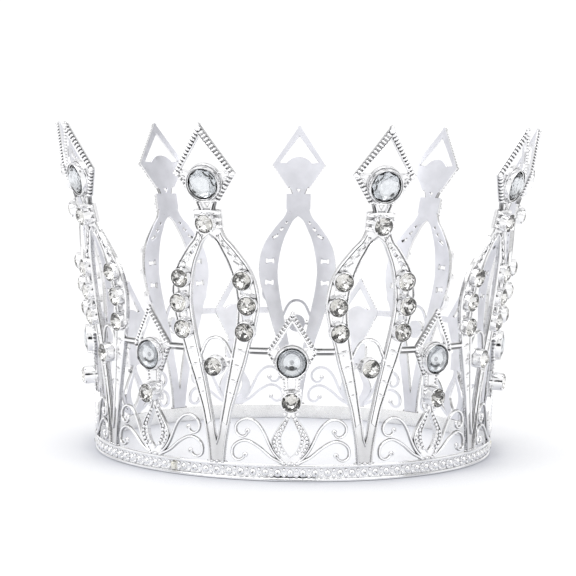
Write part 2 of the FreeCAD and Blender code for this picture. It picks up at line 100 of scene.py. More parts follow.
def circle_through(points):
    (x1, y1), (x2, y2), (x3, y3) = points
    d = 2 * (x1 * (y2 - y3) + x2 * (y3 - y1) + x3 * (y1 - y2))
    q1, q2, q3 = x1 * x1 + y1 * y1, x2 * x2 + y2 * y2, x3 * x3 + y3 * y3
    cx = (q1 * (y2 - y3) + q2 * (y3 - y1) + q3 * (y1 - y2)) / d
    cy = (q1 * (x3 - x2) + q2 * (x1 - x3) + q3 * (x2 - x1)) / d
    return cx, cy, math.hypot(x1 - cx, y1 - cy)


FLARE_X, FLARE_Z, FLARE_RHO = circle_through(FLARE)


def wall(points):
    """Panel points (distance from the centreline, height, offset from the wall) in mm to metres in space, for a panel that faces -Y."""
    p = np.asarray(points, float).reshape(-1, 3)
    s, z, n = p[:, 0], p[:, 1], p[:, 2]
    r = FLARE_X - np.sqrt(FLARE_RHO**2 - (z - FLARE_Z) ** 2)
    a = np.arcsin((z - FLARE_Z) / FLARE_RHO)
    t = s / r
    q = r + n * np.cos(a)
    return np.stack([q * np.sin(t), -q * np.cos(t), z - n * np.sin(a)], 1) * MM


def seat(s, z, n=0.0, spin=0.0):
    """Matrix of a rigid piece that sits on the wall: local z is outward and local x runs round the crown. In mm to metres."""
    r = FLARE_X - math.sqrt(FLARE_RHO**2 - (z - FLARE_Z) ** 2)
    a = math.asin((z - FLARE_Z) / FLARE_RHO)
    t = s / r
    nz = np.array([math.cos(a) * math.sin(t), -math.cos(a) * math.cos(t), -math.sin(a)])
    x = np.array([math.cos(t), math.sin(t), 0.0])
    y = np.cross(nz, x)
    c, d = math.cos(spin), math.sin(spin)
    m = np.eye(4)
    m[:3, 0], m[:3, 1], m[:3, 2] = c * x + d * y, -d * x + c * y, nz
    m[:3, 3] = np.array([r * math.sin(t), -r * math.cos(t), z]) + nz * n
    return m


def rigid(points, m):
    p = np.asarray(points, float).reshape(-1, 3)
    return (p @ m[:3, :3].T + m[:3, 3]) * MM


# ---------------------------------------------------------------------------
# curves and outlines on the panel
# ---------------------------------------------------------------------------
def spline(points, step=0.5):
    """Dense points on a natural cubic through the given ones."""
    p = np.asarray(points, float)
    if len(p) < 3:
        k = max(1, int(math.ceil(np.linalg.norm(p[1] - p[0]) / step)))
        return np.array([p[0] + (p[1] - p[0]) * i / k for i in range(k + 1)])
    h = np.linalg.norm(np.diff(p, axis=0), axis=1)
    t = np.concatenate([[0], np.cumsum(h)])
    n = len(p)
    a = np.zeros((n, n))
    b = np.zeros((n, 2))
    a[0, 0] = a[-1, -1] = 1
    for i in range(1, n - 1):
        a[i, i - 1], a[i, i], a[i, i + 1] = h[i - 1], 2 * (h[i - 1] + h[i]), h[i]
        b[i] = 6 * ((p[i + 1] - p[i]) / h[i] - (p[i] - p[i - 1]) / h[i - 1])
    m = np.linalg.solve(a, b)
    out = []
    count = max(2, int(math.ceil(t[-1] / step)))
    for u in np.linspace(0, t[-1], count + 1):
        i = min(n - 2, max(0, int(np.searchsorted(t, u, side="right") - 1)))
        x0, x1 = t[i + 1] - u, u - t[i]
        out.append(
            (m[i] * x0**3 + m[i + 1] * x1**3) / (6 * h[i])
            + (p[i] / h[i] - m[i] * h[i] / 6) * x0
            + (p[i + 1] / h[i] - m[i + 1] * h[i] / 6) * x1
        )
    return np.array(out)


def mirrored(points):
    return [(-s, z) for s, z in points][::-1]


def straight(points):
    return [[points[i], points[i + 1]] for i in range(len(points) - 1)]


def loop_of(runs, step=0.6):
    """One closed ring of points from runs of panel points that follow each other."""
    out = []
    for r in runs:
        d = spline(r, step)
        out.extend(d[:-1])
    return np.array(out)


def area(loop):
    x, y = loop[:, 0], loop[:, 1]
    return 0.5 * float(np.sum(x * np.roll(y, -1) - np.roll(x, -1) * y))


def aside(path, d, closed):
    """The path moved d to its left, with mitred corners."""
    p = np.asarray(path, float)
    if closed:
        e0, e1 = p - np.roll(p, 1, 0), np.roll(p, -1, 0) - p
    else:
        e = np.diff(p, axis=0)
        e0, e1 = np.vstack([e[:1], e]), np.vstack([e, e[-1:]])
    e0 = e0 / np.maximum(np.linalg.norm(e0, axis=1, keepdims=True), 1e-9)
    e1 = e1 / np.maximum(np.linalg.norm(e1, axis=1, keepdims=True), 1e-9)
    t = e0 + e1
    t = t / np.maximum(np.linalg.norm(t, axis=1, keepdims=True), 1e-9)
    k = np.clip(np.sum(t * e1, axis=1), 0.42, 1.0)
    left = np.stack([-t[:, 1], t[:, 0]], 1)
    return p + left * (np.asarray(d) / k)[:, None] if np.ndim(d) else p + left * (d / k)[:, None]


def inside(points, loops):
    """Even-odd test of points against all the loops together."""
    p = np.asarray(points, float)
    c = np.zeros(len(p), bool)
    for l in loops:
        a, b = l, np.roll(l, -1, 0)
        for i in range(len(a)):
            (x0, y0), (x1, y1) = a[i], b[i]
            if y0 == y1:
                continue
            hit = ((y0 > p[:, 1]) != (y1 > p[:, 1])) & (
                p[:, 0] < (x1 - x0) * (p[:, 1] - y0) / (y1 - y0) + x0
            )
            c ^= hit
    return c


def near(points, loops, d):
    keep = np.ones(len(points), bool)
    for l in loops:
        for i in range(len(l)):
            keep &= np.sum((points - l[i]) ** 2, axis=1) > d * d
    return keep


def table_s(table, z):
    zs = np.array([q[1] for q in table])[::-1]
    ss = np.array([q[0] for q in table])[::-1]
    return float(np.interp(z, zs, ss))


# ---------------------------------------------------------------------------
# gathering closed pieces of mesh
# ---------------------------------------------------------------------------
def footed(b, z0, z1, k):
    """Tone scaled down below z1, to k times at z0: the metal is darker towards the foot."""
    for i, v in enumerate(b.v):
        b.t[i] = b.t[i] * np.interp(v[:, 2] / MM, [z0, z1], [k, 1.0])
    return b


class Build:
    def __init__(self):
        self.v, self.f, self.m, self.t, self.n = [], [], [], [], 0

    def add(self, xyz, faces, mat=0, tone=1.0):
        xyz = np.asarray(xyz, float)
        self.v.append(xyz)
        t = np.asarray(tone, float)
        self.t.append(np.full(len(xyz), float(t)) if t.ndim == 0 else t)
        n = self.n
        self.f.extend([tuple(i + n for i in f) for f in faces])
        self.m.extend([mat] * len(faces) if np.ndim(mat) == 0 else list(mat))
        self.n += len(xyz)

    def mesh(self, name, smooth_deg=38.0):
        me = bpy.data.meshes.new(name)
        me.from_pydata(np.vstack(self.v).tolist(), [], self.f)
        me.polygons.foreach_set("material_index", self.m)
        a = me.attributes.new("tone", "FLOAT", "POINT")
        a.data.foreach_set("value", np.concatenate(self.t).astype(np.float32))
        bm = bmesh.new()
        bm.from_mesh(me)
        bmesh.ops.recalc_face_normals(bm, faces=bm.faces[:])
        bm.to_mesh(me)
        bm.free()
        if smooth_deg:
            me.polygons.foreach_set("use_smooth", [True] * len(me.polygons))
            me.set_sharp_from_angle(angle=math.radians(smooth_deg))
        me.update()
        return me


def plate(b, loops, n0, n1, bevel=0.12, grid=1.6, tones=(1, 1, 1), mat=0):
    """A plate on the wall with holes and eased edges. tones: front, sides, back; a tone below 1 paints shade on those
    faces.
    """
    rings = []
    for k, l in enumerate(loops):
        if (area(l) > 0) != (k == 0):
            l = l[::-1]
        rings.append(l)
    inner = [aside(l, bevel, True) for l in rings]
    lo, hi = np.vstack(inner).min(0), np.vstack(inner).max(0)
    gx, gz = np.meshgrid(np.arange(lo[0] + grid / 2, hi[0], grid), np.arange(lo[1] + grid / 2, hi[1], grid))
    pts = np.stack([gx.ravel(), gz.ravel()], 1)
    if len(pts):
        pts = pts[inside(pts, inner)]
    if len(pts):
        pts = pts[near(pts, inner, 0.5 * grid)]
    co, ed, start = [], [], []
    for l in inner:
        start.append(len(co))
        k = len(l)
        ed += [(len(co) + i, len(co) + (i + 1) % k) for i in range(k)]
        co += l.tolist()
    border = len(co)
    co += pts.tolist()
    vo, _, fo, orig, _, _ = delaunay_2d_cdt([Vector(c) for c in co], ed, [], 0, 1e-5)
    where = {}
    for i, ids in enumerate(orig):
        for j in ids:
            where[j] = i
    vo = np.array([[q.x, q.y] for q in vo])
    fo = [f for f in fo if len(set(f)) == 3]
    cen = np.array([vo[list(f)].mean(0) for f in fo])
    ok = inside(cen, inner)
    fo = [f for f, o in zip(fo, ok) if o]
    k = len(vo)
    front = np.column_stack([vo, np.full(k, n1)])
    back = np.column_stack([vo, np.full(k, n0)])
    verts = [front, back]
    faces = [tuple(f) for f in fo] + [tuple(k + i for i in f[::-1]) for f in fo]
    mats = [mat] * len(fo) + [mat + (n0 <= WALL_IN + 0.01)] * len(fo)
    tone = [np.full(k, tones[0]), np.full(k, tones[2])]
    base = 2 * k
    for l, st in zip(rings, start):
        m = len(l)
        verts += [np.column_stack([l, np.full(m, n1 - bevel)]), np.column_stack([l, np.full(m, n0 + bevel)])]
        tone += [np.full(m, tones[1])] * 2
        for i in range(m):
            j = (i + 1) % m
            fi, fj = where[st + i], where[st + j]
            faces.append((base + i, base + j, fj, fi))
            faces.append((base + m + i, base + m + j, base + j, base + i))
            faces.append((k + fi, k + fj, base + m + j, base + m + i))
            mats += [mat, mat, mat + (n0 <= WALL_IN + 0.01)]
        base += 2 * m
    b.add(wall(np.vstack(verts)), faces, mats, np.concatenate(tone))


RIM = [(-0.5, -0.4), (-0.5, 0.5), (-0.36, 0.82), (-0.14, 0.97), (0.14, 0.97), (0.36, 0.82), (0.5, 0.5), (0.5, -0.4)]


def sweep(b, path, prof, closed=False, width=1.0, low=0.0, high=1.0, tone=1.0, mat=0, taper=None, back=False):
    """A bar that follows a path on the panel. prof runs round the section: across in widths, and height from low (0) to high (1)."""
    p = np.asarray(path, float)
    k, m = len(p), len(prof)
    ws = np.full(k, float(width)) if taper is None else np.asarray(taper, float) * width
    rows = []
    for u, h in prof:
        q = aside(p, u * ws, closed)
        rows.append(np.column_stack([q, np.full(k, low + (high - low) * h)]))
    v = np.stack(rows, 1).reshape(-1, 3)
    faces, mats = [], []
    for i in range(k if closed else k - 1):
        j = (i + 1) % k
        for a in range(m):
            c = (a + 1) % m
            faces.append((i * m + a, j * m + a, j * m + c, i * m + c))
            mats.append(mat + (back and a == m - 1))
    if not closed:
        faces.append(tuple(range(m)))
        faces.append(tuple((k - 1) * m + a for a in range(m))[::-1])
        mats += [mat, mat]
    t = np.tile(np.asarray(tone, float), k) if np.ndim(tone) else tone
    b.add(wall(v), faces, mats, t)


# the flanks of a rim are darker: painted shade
RIM_TONE = [0.62, 0.62, 0.95, 1, 1, 0.95, 0.62, 0.62]
STRAND = [(-0.5, 0.0), (-0.5, 0.5), (-0.38, 0.82), (-0.18, 0.98), (0.18, 0.98), (0.38, 0.82), (0.5, 0.5), (0.5, 0.0)]
# the flanks and shoulders of a wire are darker, the flanks near black: painted shade
STRAND_TONE = [1, 0.16, 0.55, 1, 1, 0.55, 0.16, 1]
ROUND = [(0.5 * math.cos(math.radians(a)), 0.5 + 0.5 * math.sin(math.radians(a))) for a in range(0, 360, 36)]


def pip(b, s, z, n, long, wide, high, angle=0.0, tone=1.0, power=0.8, lon=12, lat=7, mat=0, contact_shade=None):
    """A rounded bead or bar that lies on the panel, long by wide by high, turned by angle degrees. The tone given for
    its lowest part is painted shade where it meets the panel.
    """
    v, f = [], []
    for i in range(1, lat):
        w = math.pi * i / lat - math.pi / 2
        for j in range(lon):
            q = 2 * math.pi * j / lon
            c, d = math.cos(w), math.sin(w)
            e = lambda x: math.copysign(abs(x) ** power, x)
            v.append((e(c) * e(math.cos(q)) * long / 2, e(c) * e(math.sin(q)) * wide / 2, e(d) * high / 2))
    v += [(0, 0, -high / 2), (0, 0, high / 2)]
    for i in range(lat - 2):
        for j in range(lon):
            k = (j + 1) % lon
            f.append((i * lon + j, i * lon + k, (i + 1) * lon + k, (i + 1) * lon + j))
    for j in range(lon):
        k = (j + 1) % lon
        f.append((len(v) - 2, k, j))
        f.append((len(v) - 1, (lat - 2) * lon + j, (lat - 2) * lon + k))
    v = np.array(v)
    c, d = math.cos(math.radians(angle)), math.sin(math.radians(angle))
    out = np.column_stack([s + v[:, 0] * c - v[:, 1] * d, z + v[:, 0] * d + v[:, 1] * c, n + v[:, 2]])
    t = tone
    # the lowest part takes its own tone: painted shade where the piece meets the panel
    if contact_shade is not None:
        t = np.where(v[:, 2] < 0.12 * high, contact_shade, tone)
    b.add(wall(out), f, mat, t)


def lathe(b, m, prof, seg=36, tone=1.0, mat=0, hole=False, base=0):
    """A turned piece about the local z of matrix m. prof: (r, height) from the axis or round a closed section."""
    v, f, t = [], [], []
    tones = tone if np.ndim(tone) else [tone] * len(prof)
    first, last = 0, len(prof)
    tip0 = tip1 = None
    if not hole:
        if prof[0][0] == 0:
            first = 1
        if prof[-1][0] == 0:
            last -= 1
    ring = prof[first:last]
    for (r, h), tn in zip(ring, tones[first:last]):
        for j in range(seg):
            q = 2 * math.pi * j / seg
            v.append((r * math.cos(q), r * math.sin(q), h))
            t.append(tn)
    rows = len(ring)
    for i in range(rows if hole else rows - 1):
        i1 = (i + 1) % rows
        for j in range(seg):
            k = (j + 1) % seg
            f.append((i * seg + j, i * seg + k, i1 * seg + k, i1 * seg + j))
    if not hole:
        if first == 1:
            tip0 = len(v)
            v.append((0, 0, prof[0][1]))
            t.append(tones[0])
            f += [(tip0, (j + 1) % seg, j) for j in range(seg)]
        else:
            f.append(tuple(range(seg))[::-1])
        if last == len(prof) - 1:
            tip1 = len(v)
            v.append((0, 0, prof[-1][1]))
            t.append(tones[-1])
            f += [(tip1, (rows - 1) * seg + j, (rows - 1) * seg + (j + 1) % seg) for j in range(seg)]
        else:
            f.append(tuple((rows - 1) * seg + j for j in range(seg)))
    mats = [mat] * len(f)
    if base and first == 1:
        for i, q in enumerate(f):
            if tip0 in q:
                mats[i] = base
    b.add(rigid(v, m), f, mats, np.array(t))


# ---------------------------------------------------------------------------
# shared details
# ---------------------------------------------------------------------------
def cup(b, s, z, girdle, r=3.26, base=-0.5):
    """A closed cup for a pointed stone, with a rolled lip and its inside painted dark as shade."""
    m = seat(s, z)
    top = girdle + STONE_GIRDLE + 0.12
    prof = [
        (0, base), (r + 0.12, base), (r + 0.12, 0.55), (r - 0.02, 0.8), (r - 0.02, top - 0.28),
        (r - 0.04, top - 0.08), (r - 0.14, top), (3.03, top - 0.02), (3.0, girdle), (2.66, girdle - 0.02),
        (1.2, girdle - 1.35), (0, girdle - 2.2),
    ]
    tone = [1.4, 1.2, 0.75, 0.95, 1, 1, 0.95, 0.6, 0.15, 0.1, 0.1, 0.1]
    lathe(b, m, prof, 32, tone, base=1)


def claws(b, s, z, n, r=2.95, turn=45.0):
    """Four short prongs bent over the lip of a cup."""
    for q in range(4):
        a = turn + 90.0 * q
        c, d = math.cos(math.radians(a)), math.sin(math.radians(a))
        pip(b, s + r * c, z + r * d, n, 1.15, 0.62, 1.0, a, 1.0, 0.8, 12, 7, contact_shade=0.1)


def bezel(b, z, r_out, r_in, top=2.5, floor=0.6):
    """The raised setting of a crest stone, its inner wall and floor painted dark as shade."""
    m = seat(0, z)
    prof = [
        (0, -0.5), (r_out - 0.1, -0.5), (r_out, -0.4), (r_out, 1.5), (r_out - 0.08, 1.9),
        (r_out - 0.12, top - 0.3), (r_out - 0.2, top - 0.06), (r_out - 0.3, top), (r_out - 0.42, top - 0.1),
        (r_out - 0.46, top - 0.42), (r_in + 0.12, top - 0.5), (r_in + 0.03, top - 0.62),
        (r_in + 0.02, floor + 0.9), (r_in + 0.01, floor - 0.02), (0, floor - 0.02),
    ]
    tone = [1, 1, 1, 1.1, 1.1, 1, 1, 1, 0.9, 0.12, 1, 0.9, 0.15, 0.1, 0.1]
    lathe(b, m, prof, 48, tone)
    # the step that runs round its foot, darker where it meets the bezel and underneath as painted shade
    foot = [(r_out - 0.2, -0.2), (r_out + 0.34, -0.2), (r_out + 0.36, 0.5), (r_out + 0.24, 0.72), (r_out + 0.06, 0.66), (r_out - 0.2, 0.5)]
    lathe(b, m, foot, 48, [0.6, 0.7, 1, 1, 0.4, 0.3], hole=True)


def rope(b, a, c, inset, width, pitch, n, high, skew=0.0, margin=(0.6, 0.6), wide=0.9, side=1, contact_shade=0.35):
    """Ribs along a straight edge from a to c, set inset to one side of it."""
    a, c = np.array(a, float), np.array(c, float)
    d = c - a
    length = float(np.linalg.norm(d))
    d /= length
    left = np.array([-d[1], d[0]]) * side
    count = max(2, int(round((length - margin[0] - margin[1]) / pitch)) + 1)
    for i in range(count):
        u = margin[0] + (length - margin[0] - margin[1]) * i / (count - 1)
        q = a + d * u + left * inset
        ang = math.degrees(math.atan2(left[1], left[0])) + skew
        pip(b, q[0], q[1], n, width, wide, high, ang, 1.0, 0.72, 12, 7, contact_shade=contact_shade)


def backing(b, corners, width, k):
    """A thin smooth border behind the ribs of a kite, out to its true edge, its front painted dark as shade under the
    ribs.
    """
    for side in (1, -1):
        for a, c in zip(corners[:-1], corners[1:]):
            a, c = np.array(a) * [side, 1], np.array(c) * [side, 1]
            u = (c - a) / np.linalg.norm(c - a)
            inward = np.array([u[1], -u[0]]) * side
            if np.dot(inward, np.array([0.0, k]) - (a + c) / 2) < 0:
                inward = -inward
            p = np.linspace(a, c, 16) + inward * width / 2
            low = -0.91 - (0.012 if side > 0 else 0.0) - (0.006 if a[1] > k else 0.0)
            sweep(b, p, [(-0.5, 0.0), (-0.5, 1.0), (0.5, 1.0), (0.5, 0.0)], width=width, low=low, high=-0.38, tone=[1.0, 0.3, 0.2, 1.0], back=True)


def brilliant(radius, ledge, girdle, crown, table_r, culet, mid=0.62, pav=0.55, spin=0.0):
    """Facets of a round stone: table, 8 stars, 8 mains, 16 upper halves, girdle, then 8 mains and 16 lower halves to a
    point. Returns (verts, faces, is_back); is_back holds 0 for the crown, 1 for foil and 2 for foil painted dark as a
    reflection.
    """

    def at(r, k, h):
        t = math.radians(22.5 * k) + spin
        return (r * math.cos(t), r * math.sin(t), h)

    v, f, back = [], [], []
    tb = [len(v) + i for i in range(8)]
    v += [at(table_r, 2 * i, girdle + crown) for i in range(8)]
    rm = table_r + (radius - table_r) * mid
    hm = girdle + crown + (-crown) * (rm * math.cos(math.radians(22.5)) - table_r) / (radius - table_r)
    md = [len(v) + i for i in range(8)]
    v += [at(rm, 2 * i + 1, hm) for i in range(8)]
    g1 = [len(v) + i for i in range(16)]
    v += [at(radius, i, girdle) for i in range(16)]
    g0 = [len(v) + i for i in range(16)]
    v += [at(radius, i, 0) for i in range(16)]
    f.append(tuple(tb))
    back.append(0)
    for i in range(8):
        j, h = (i + 1) % 8, (i - 1) % 8
        f.append((tb[i], md[i], tb[j]))
        f.append((tb[i], md[h], g1[2 * i], md[i]))
        f.append((md[i], g1[2 * i], g1[2 * i + 1]))
        f.append((md[i], g1[2 * i + 1], g1[(2 * i + 2) % 16]))
        back += [0] * 4
    for i in range(16):
        j = (i + 1) % 16
        f.append((g0[i], g0[j], g1[j], g1[i]))
        back.append(1)
    p0 = [len(v) + i for i in range(16)]
    v += [at(ledge, i, -0.02) for i in range(16)]
    for i in range(16):
        j = (i + 1) % 16
        f.append((g0[i], g0[j], p0[j], p0[i]))
        back.append(1)
    rn = ledge * pav
    hn = -culet + culet * (rn * math.cos(math.radians(22.5))) / ledge
    nd = [len(v) + i for i in range(8)]
    v += [at(rn, 2 * i + 1, hn) for i in range(8)]
    c = len(v)
    v.append((0, 0, -culet))
    for i in range(8):
        h = (i - 1) % 8
        f.append((c, nd[h], p0[2 * i], nd[i]))
        f.append((p0[2 * i], nd[i], p0[2 * i + 1]))
        f.append((p0[2 * i + 1], nd[i], p0[(2 * i + 2) % 16]))
        # a few back facets, at random, get the dark foil: painted dark reflections
        back += [2 if random.random() < 0.06 else 1, 2 if random.random() < 0.36 else 1, 2 if random.random() < 0.2 else 1]
    return v, f, back


def crest_stone(radius, girdle0, girdle1, crown, table_r, back_h, count=12):
    """A flat-backed round stone: a low faceted back, a girdle, three rows of crown facets and a table."""
    v, f, back = [], [], []

    def ring(r, h, turn=0.0):
        base = len(v)
        for i in range(count):
            t = 2 * math.pi * (i + turn) / count
            v.append((r * math.cos(t), r * math.sin(t), h))
        return [base + i for i in range(count)]

    tip = len(v)
    v.append((0, 0, back_h))
    b1 = ring(radius * 0.5, back_h + 0.30 * (girdle0 - back_h), 0.5)
    g0 = ring(radius, girdle0)
    g1 = ring(radius, girdle1)
    c1 = ring(radius * 0.86, girdle1 + crown * 0.46, 0.5)
    c2 = ring(radius * 0.68, girdle1 + crown * 0.79)
    tb = ring(table_r, girdle1 + crown, 0.5)
    for i in range(count):
        j, h = (i + 1) % count, (i - 1) % count
        f.append((tip, b1[j], b1[i]))
        f.append((b1[i], b1[j], g0[j]))
        f.append((b1[i], g0[j], g0[i]))
        f.append((g0[i], g0[j], g1[j], g1[i]))
        mid = (360.0 * (i + 1) / count) % 360
        # a few back facets, at random, get the dark foil: painted dark reflections
        back += [1, 2 if random.random() < 0.16 else 1, 2 if random.random() < 0.06 else 1, 1]
        f.append((g1[i], g1[j], c1[i]))
        f.append((c1[i], g1[j], c1[j]))
        f.append((c1[i], c1[j], c2[j]))
        f.append((c2[i], c1[i], c2[j]))
        f.append((c2[i], c2[j], tb[i]))
        f.append((tb[i], c2[j], tb[j]))
        back += [0] * 6
    f.append(tuple(tb))
    back.append(0)
    return v, f, back


def domed_stone(radius, girdle0, girdle1, crown, back_h, count=28):
    """A low dome over a foiled back whose turned steps show as rings; the foil is painted as reflections, darkest in a
    crescent below the middle and mid-grey at the centre and the sides.
    """
    v, f, back = [], [], []

    def ring(r, h):
        base = len(v)
        for i in range(count):
            t = 2 * math.pi * (i + 0.5) / count
            v.append((r * math.cos(t), r * math.sin(t), h))
        return [base + i for i in range(count)]

    deep = girdle0 - back_h
    rows = [(0.15, 0.05), (0.38, 0.15), (0.54, 0.29), (0.78, 0.52), (0.88, 0.72), (1.0, 1.0)]
    steps = [ring(radius * r, back_h + deep * h) for r, h in rows]
    g1 = ring(radius, girdle1)
    dome = [ring(radius * k, girdle1 + crown * math.sqrt(max(0.0, 1 - k * k)) ** 1.15) for k in (0.93, 0.8, 0.62, 0.42, 0.2)]
    tip, cap = len(v), len(v) + 1
    v += [(0, 0, back_h), (0, 0, girdle1 + crown)]
    for i in range(count):
        j = (i + 1) % count
        mid = 360.0 * (i + 1) / count
        f.append((tip, steps[0][j], steps[0][i]))
        back.append(3)
        for k, (a, c) in enumerate(zip(steps[:-1], steps[1:])):
            f.append((a[i], a[j], c[j], c[i]))
            # the foil's painted reflections: a dark crescent below the middle, mid-grey rings at the sides
            low = abs(mid - 262) < 54
            side = min(abs(mid - 185), abs(mid + 5), abs(mid - 355)) < 48
            back.append(2 if k == 1 and low else 3 if k == 2 and side else 1)
        f.append((steps[-1][i], steps[-1][j], g1[j], g1[i]))
        back.append(1)
        for a, c in zip([g1] + dome[:-1], dome):
            f.append((a[i], a[j], c[j], c[i]))
            back.append(0)
        f.append((dome[-1][i], dome[-1][j], cap))
        back.append(0)
    return v, f, back


# ---------------------------------------------------------------------------
# tall spire
# ---------------------------------------------------------------------------
def tall_outline():
    # ribs overhang the kite's plate, so its edge stands 0.7 mm in from theirs
    right = straight([(0.0, 112.95), (9.75, 98.61), (3.5, 89.7), (2.9, 88.9), (2.3, 87.2)])
    right += [
        [TALL_KITE[-1], (COLLAR_S, COLLAR_Z1)],
        [(COLLAR_S, COLLAR_Z1), (COLLAR_S, COLLAR_Z0)],
        [(COLLAR_S, COLLAR_Z0), TALL_OUTER[0]],
        TALL_OUTER,
    ]
    left = [mirrored(r) for r in right[::-1]]
    foot = [[TALL_OUTER[-1], (-TALL_OUTER[-1][0], TALL_OUTER[-1][1])]]
    return right + foot + left


def arc_run(cz, r, a0, a1, count=13):
    return [
        (
            r * math.cos(math.radians(a0 + (a1 - a0) * i / (count - 1))),
            cz + r * math.sin(math.radians(a0 + (a1 - a0) * i / (count - 1))),
        )
        for i in range(count)
    ]


def kite_window(top, side, low, cz, r):
    a = math.degrees(math.asin((low[1] - cz) / r))
    return [
        [top, side],
        [side, low],
        arc_run(cz, r, a, 180 - a),
        [(-low[0], low[1]), (-side[0], side[1])],
        [(-side[0], side[1]), top],
    ]


def slot_loop(s, z, w, h, lean):
    c, d = math.cos(math.radians(lean)), math.sin(math.radians(lean))
    q = [(-w / 2, -h / 2), (w / 2, -h / 2), (w / 2, h / 2), (-w / 2, h / 2)]
    if h > 1.5:
        e, k = w / 2 - 0.8, h / 2 - 0.45
        q = [
            (-w / 2, -h / 2), (-e, -h / 2), (-e + 0.2, -k), (e - 0.2, -k), (e, -h / 2), (w / 2, -h / 2),
            (w / 2, h / 2), (e, h / 2), (e - 0.2, k), (-e + 0.2, k), (-e, h / 2), (-w / 2, h / 2),
        ]
    return np.array([(s + x * c - y * d, z + x * d + y * c) for x, y in q])


SLOTS = (
    (10.9, 61.2, 3.4, 2.0, -6), (11.0, 52.8, 3.4, 2.0, 6), (8.9, 70.6, 2.6, 1.0, -30),
    (6.5, 73.4, 1.5, 0.9, -40), (4.6, 75.9, 1.1, 0.8, -42),
)
FLOOR_GAP = 0.95


def beside(table, z0, z1, d, step=0.8):
    full = spline(table, 0.4)
    off = aside(full, d, False)
    zs = full[:, 1]
    lo, hi = min(z0, z1), max(z0, z1)
    keep = (zs >= lo - 1e-6) & (zs <= hi + 1e-6)
    out = off[keep]
    return out


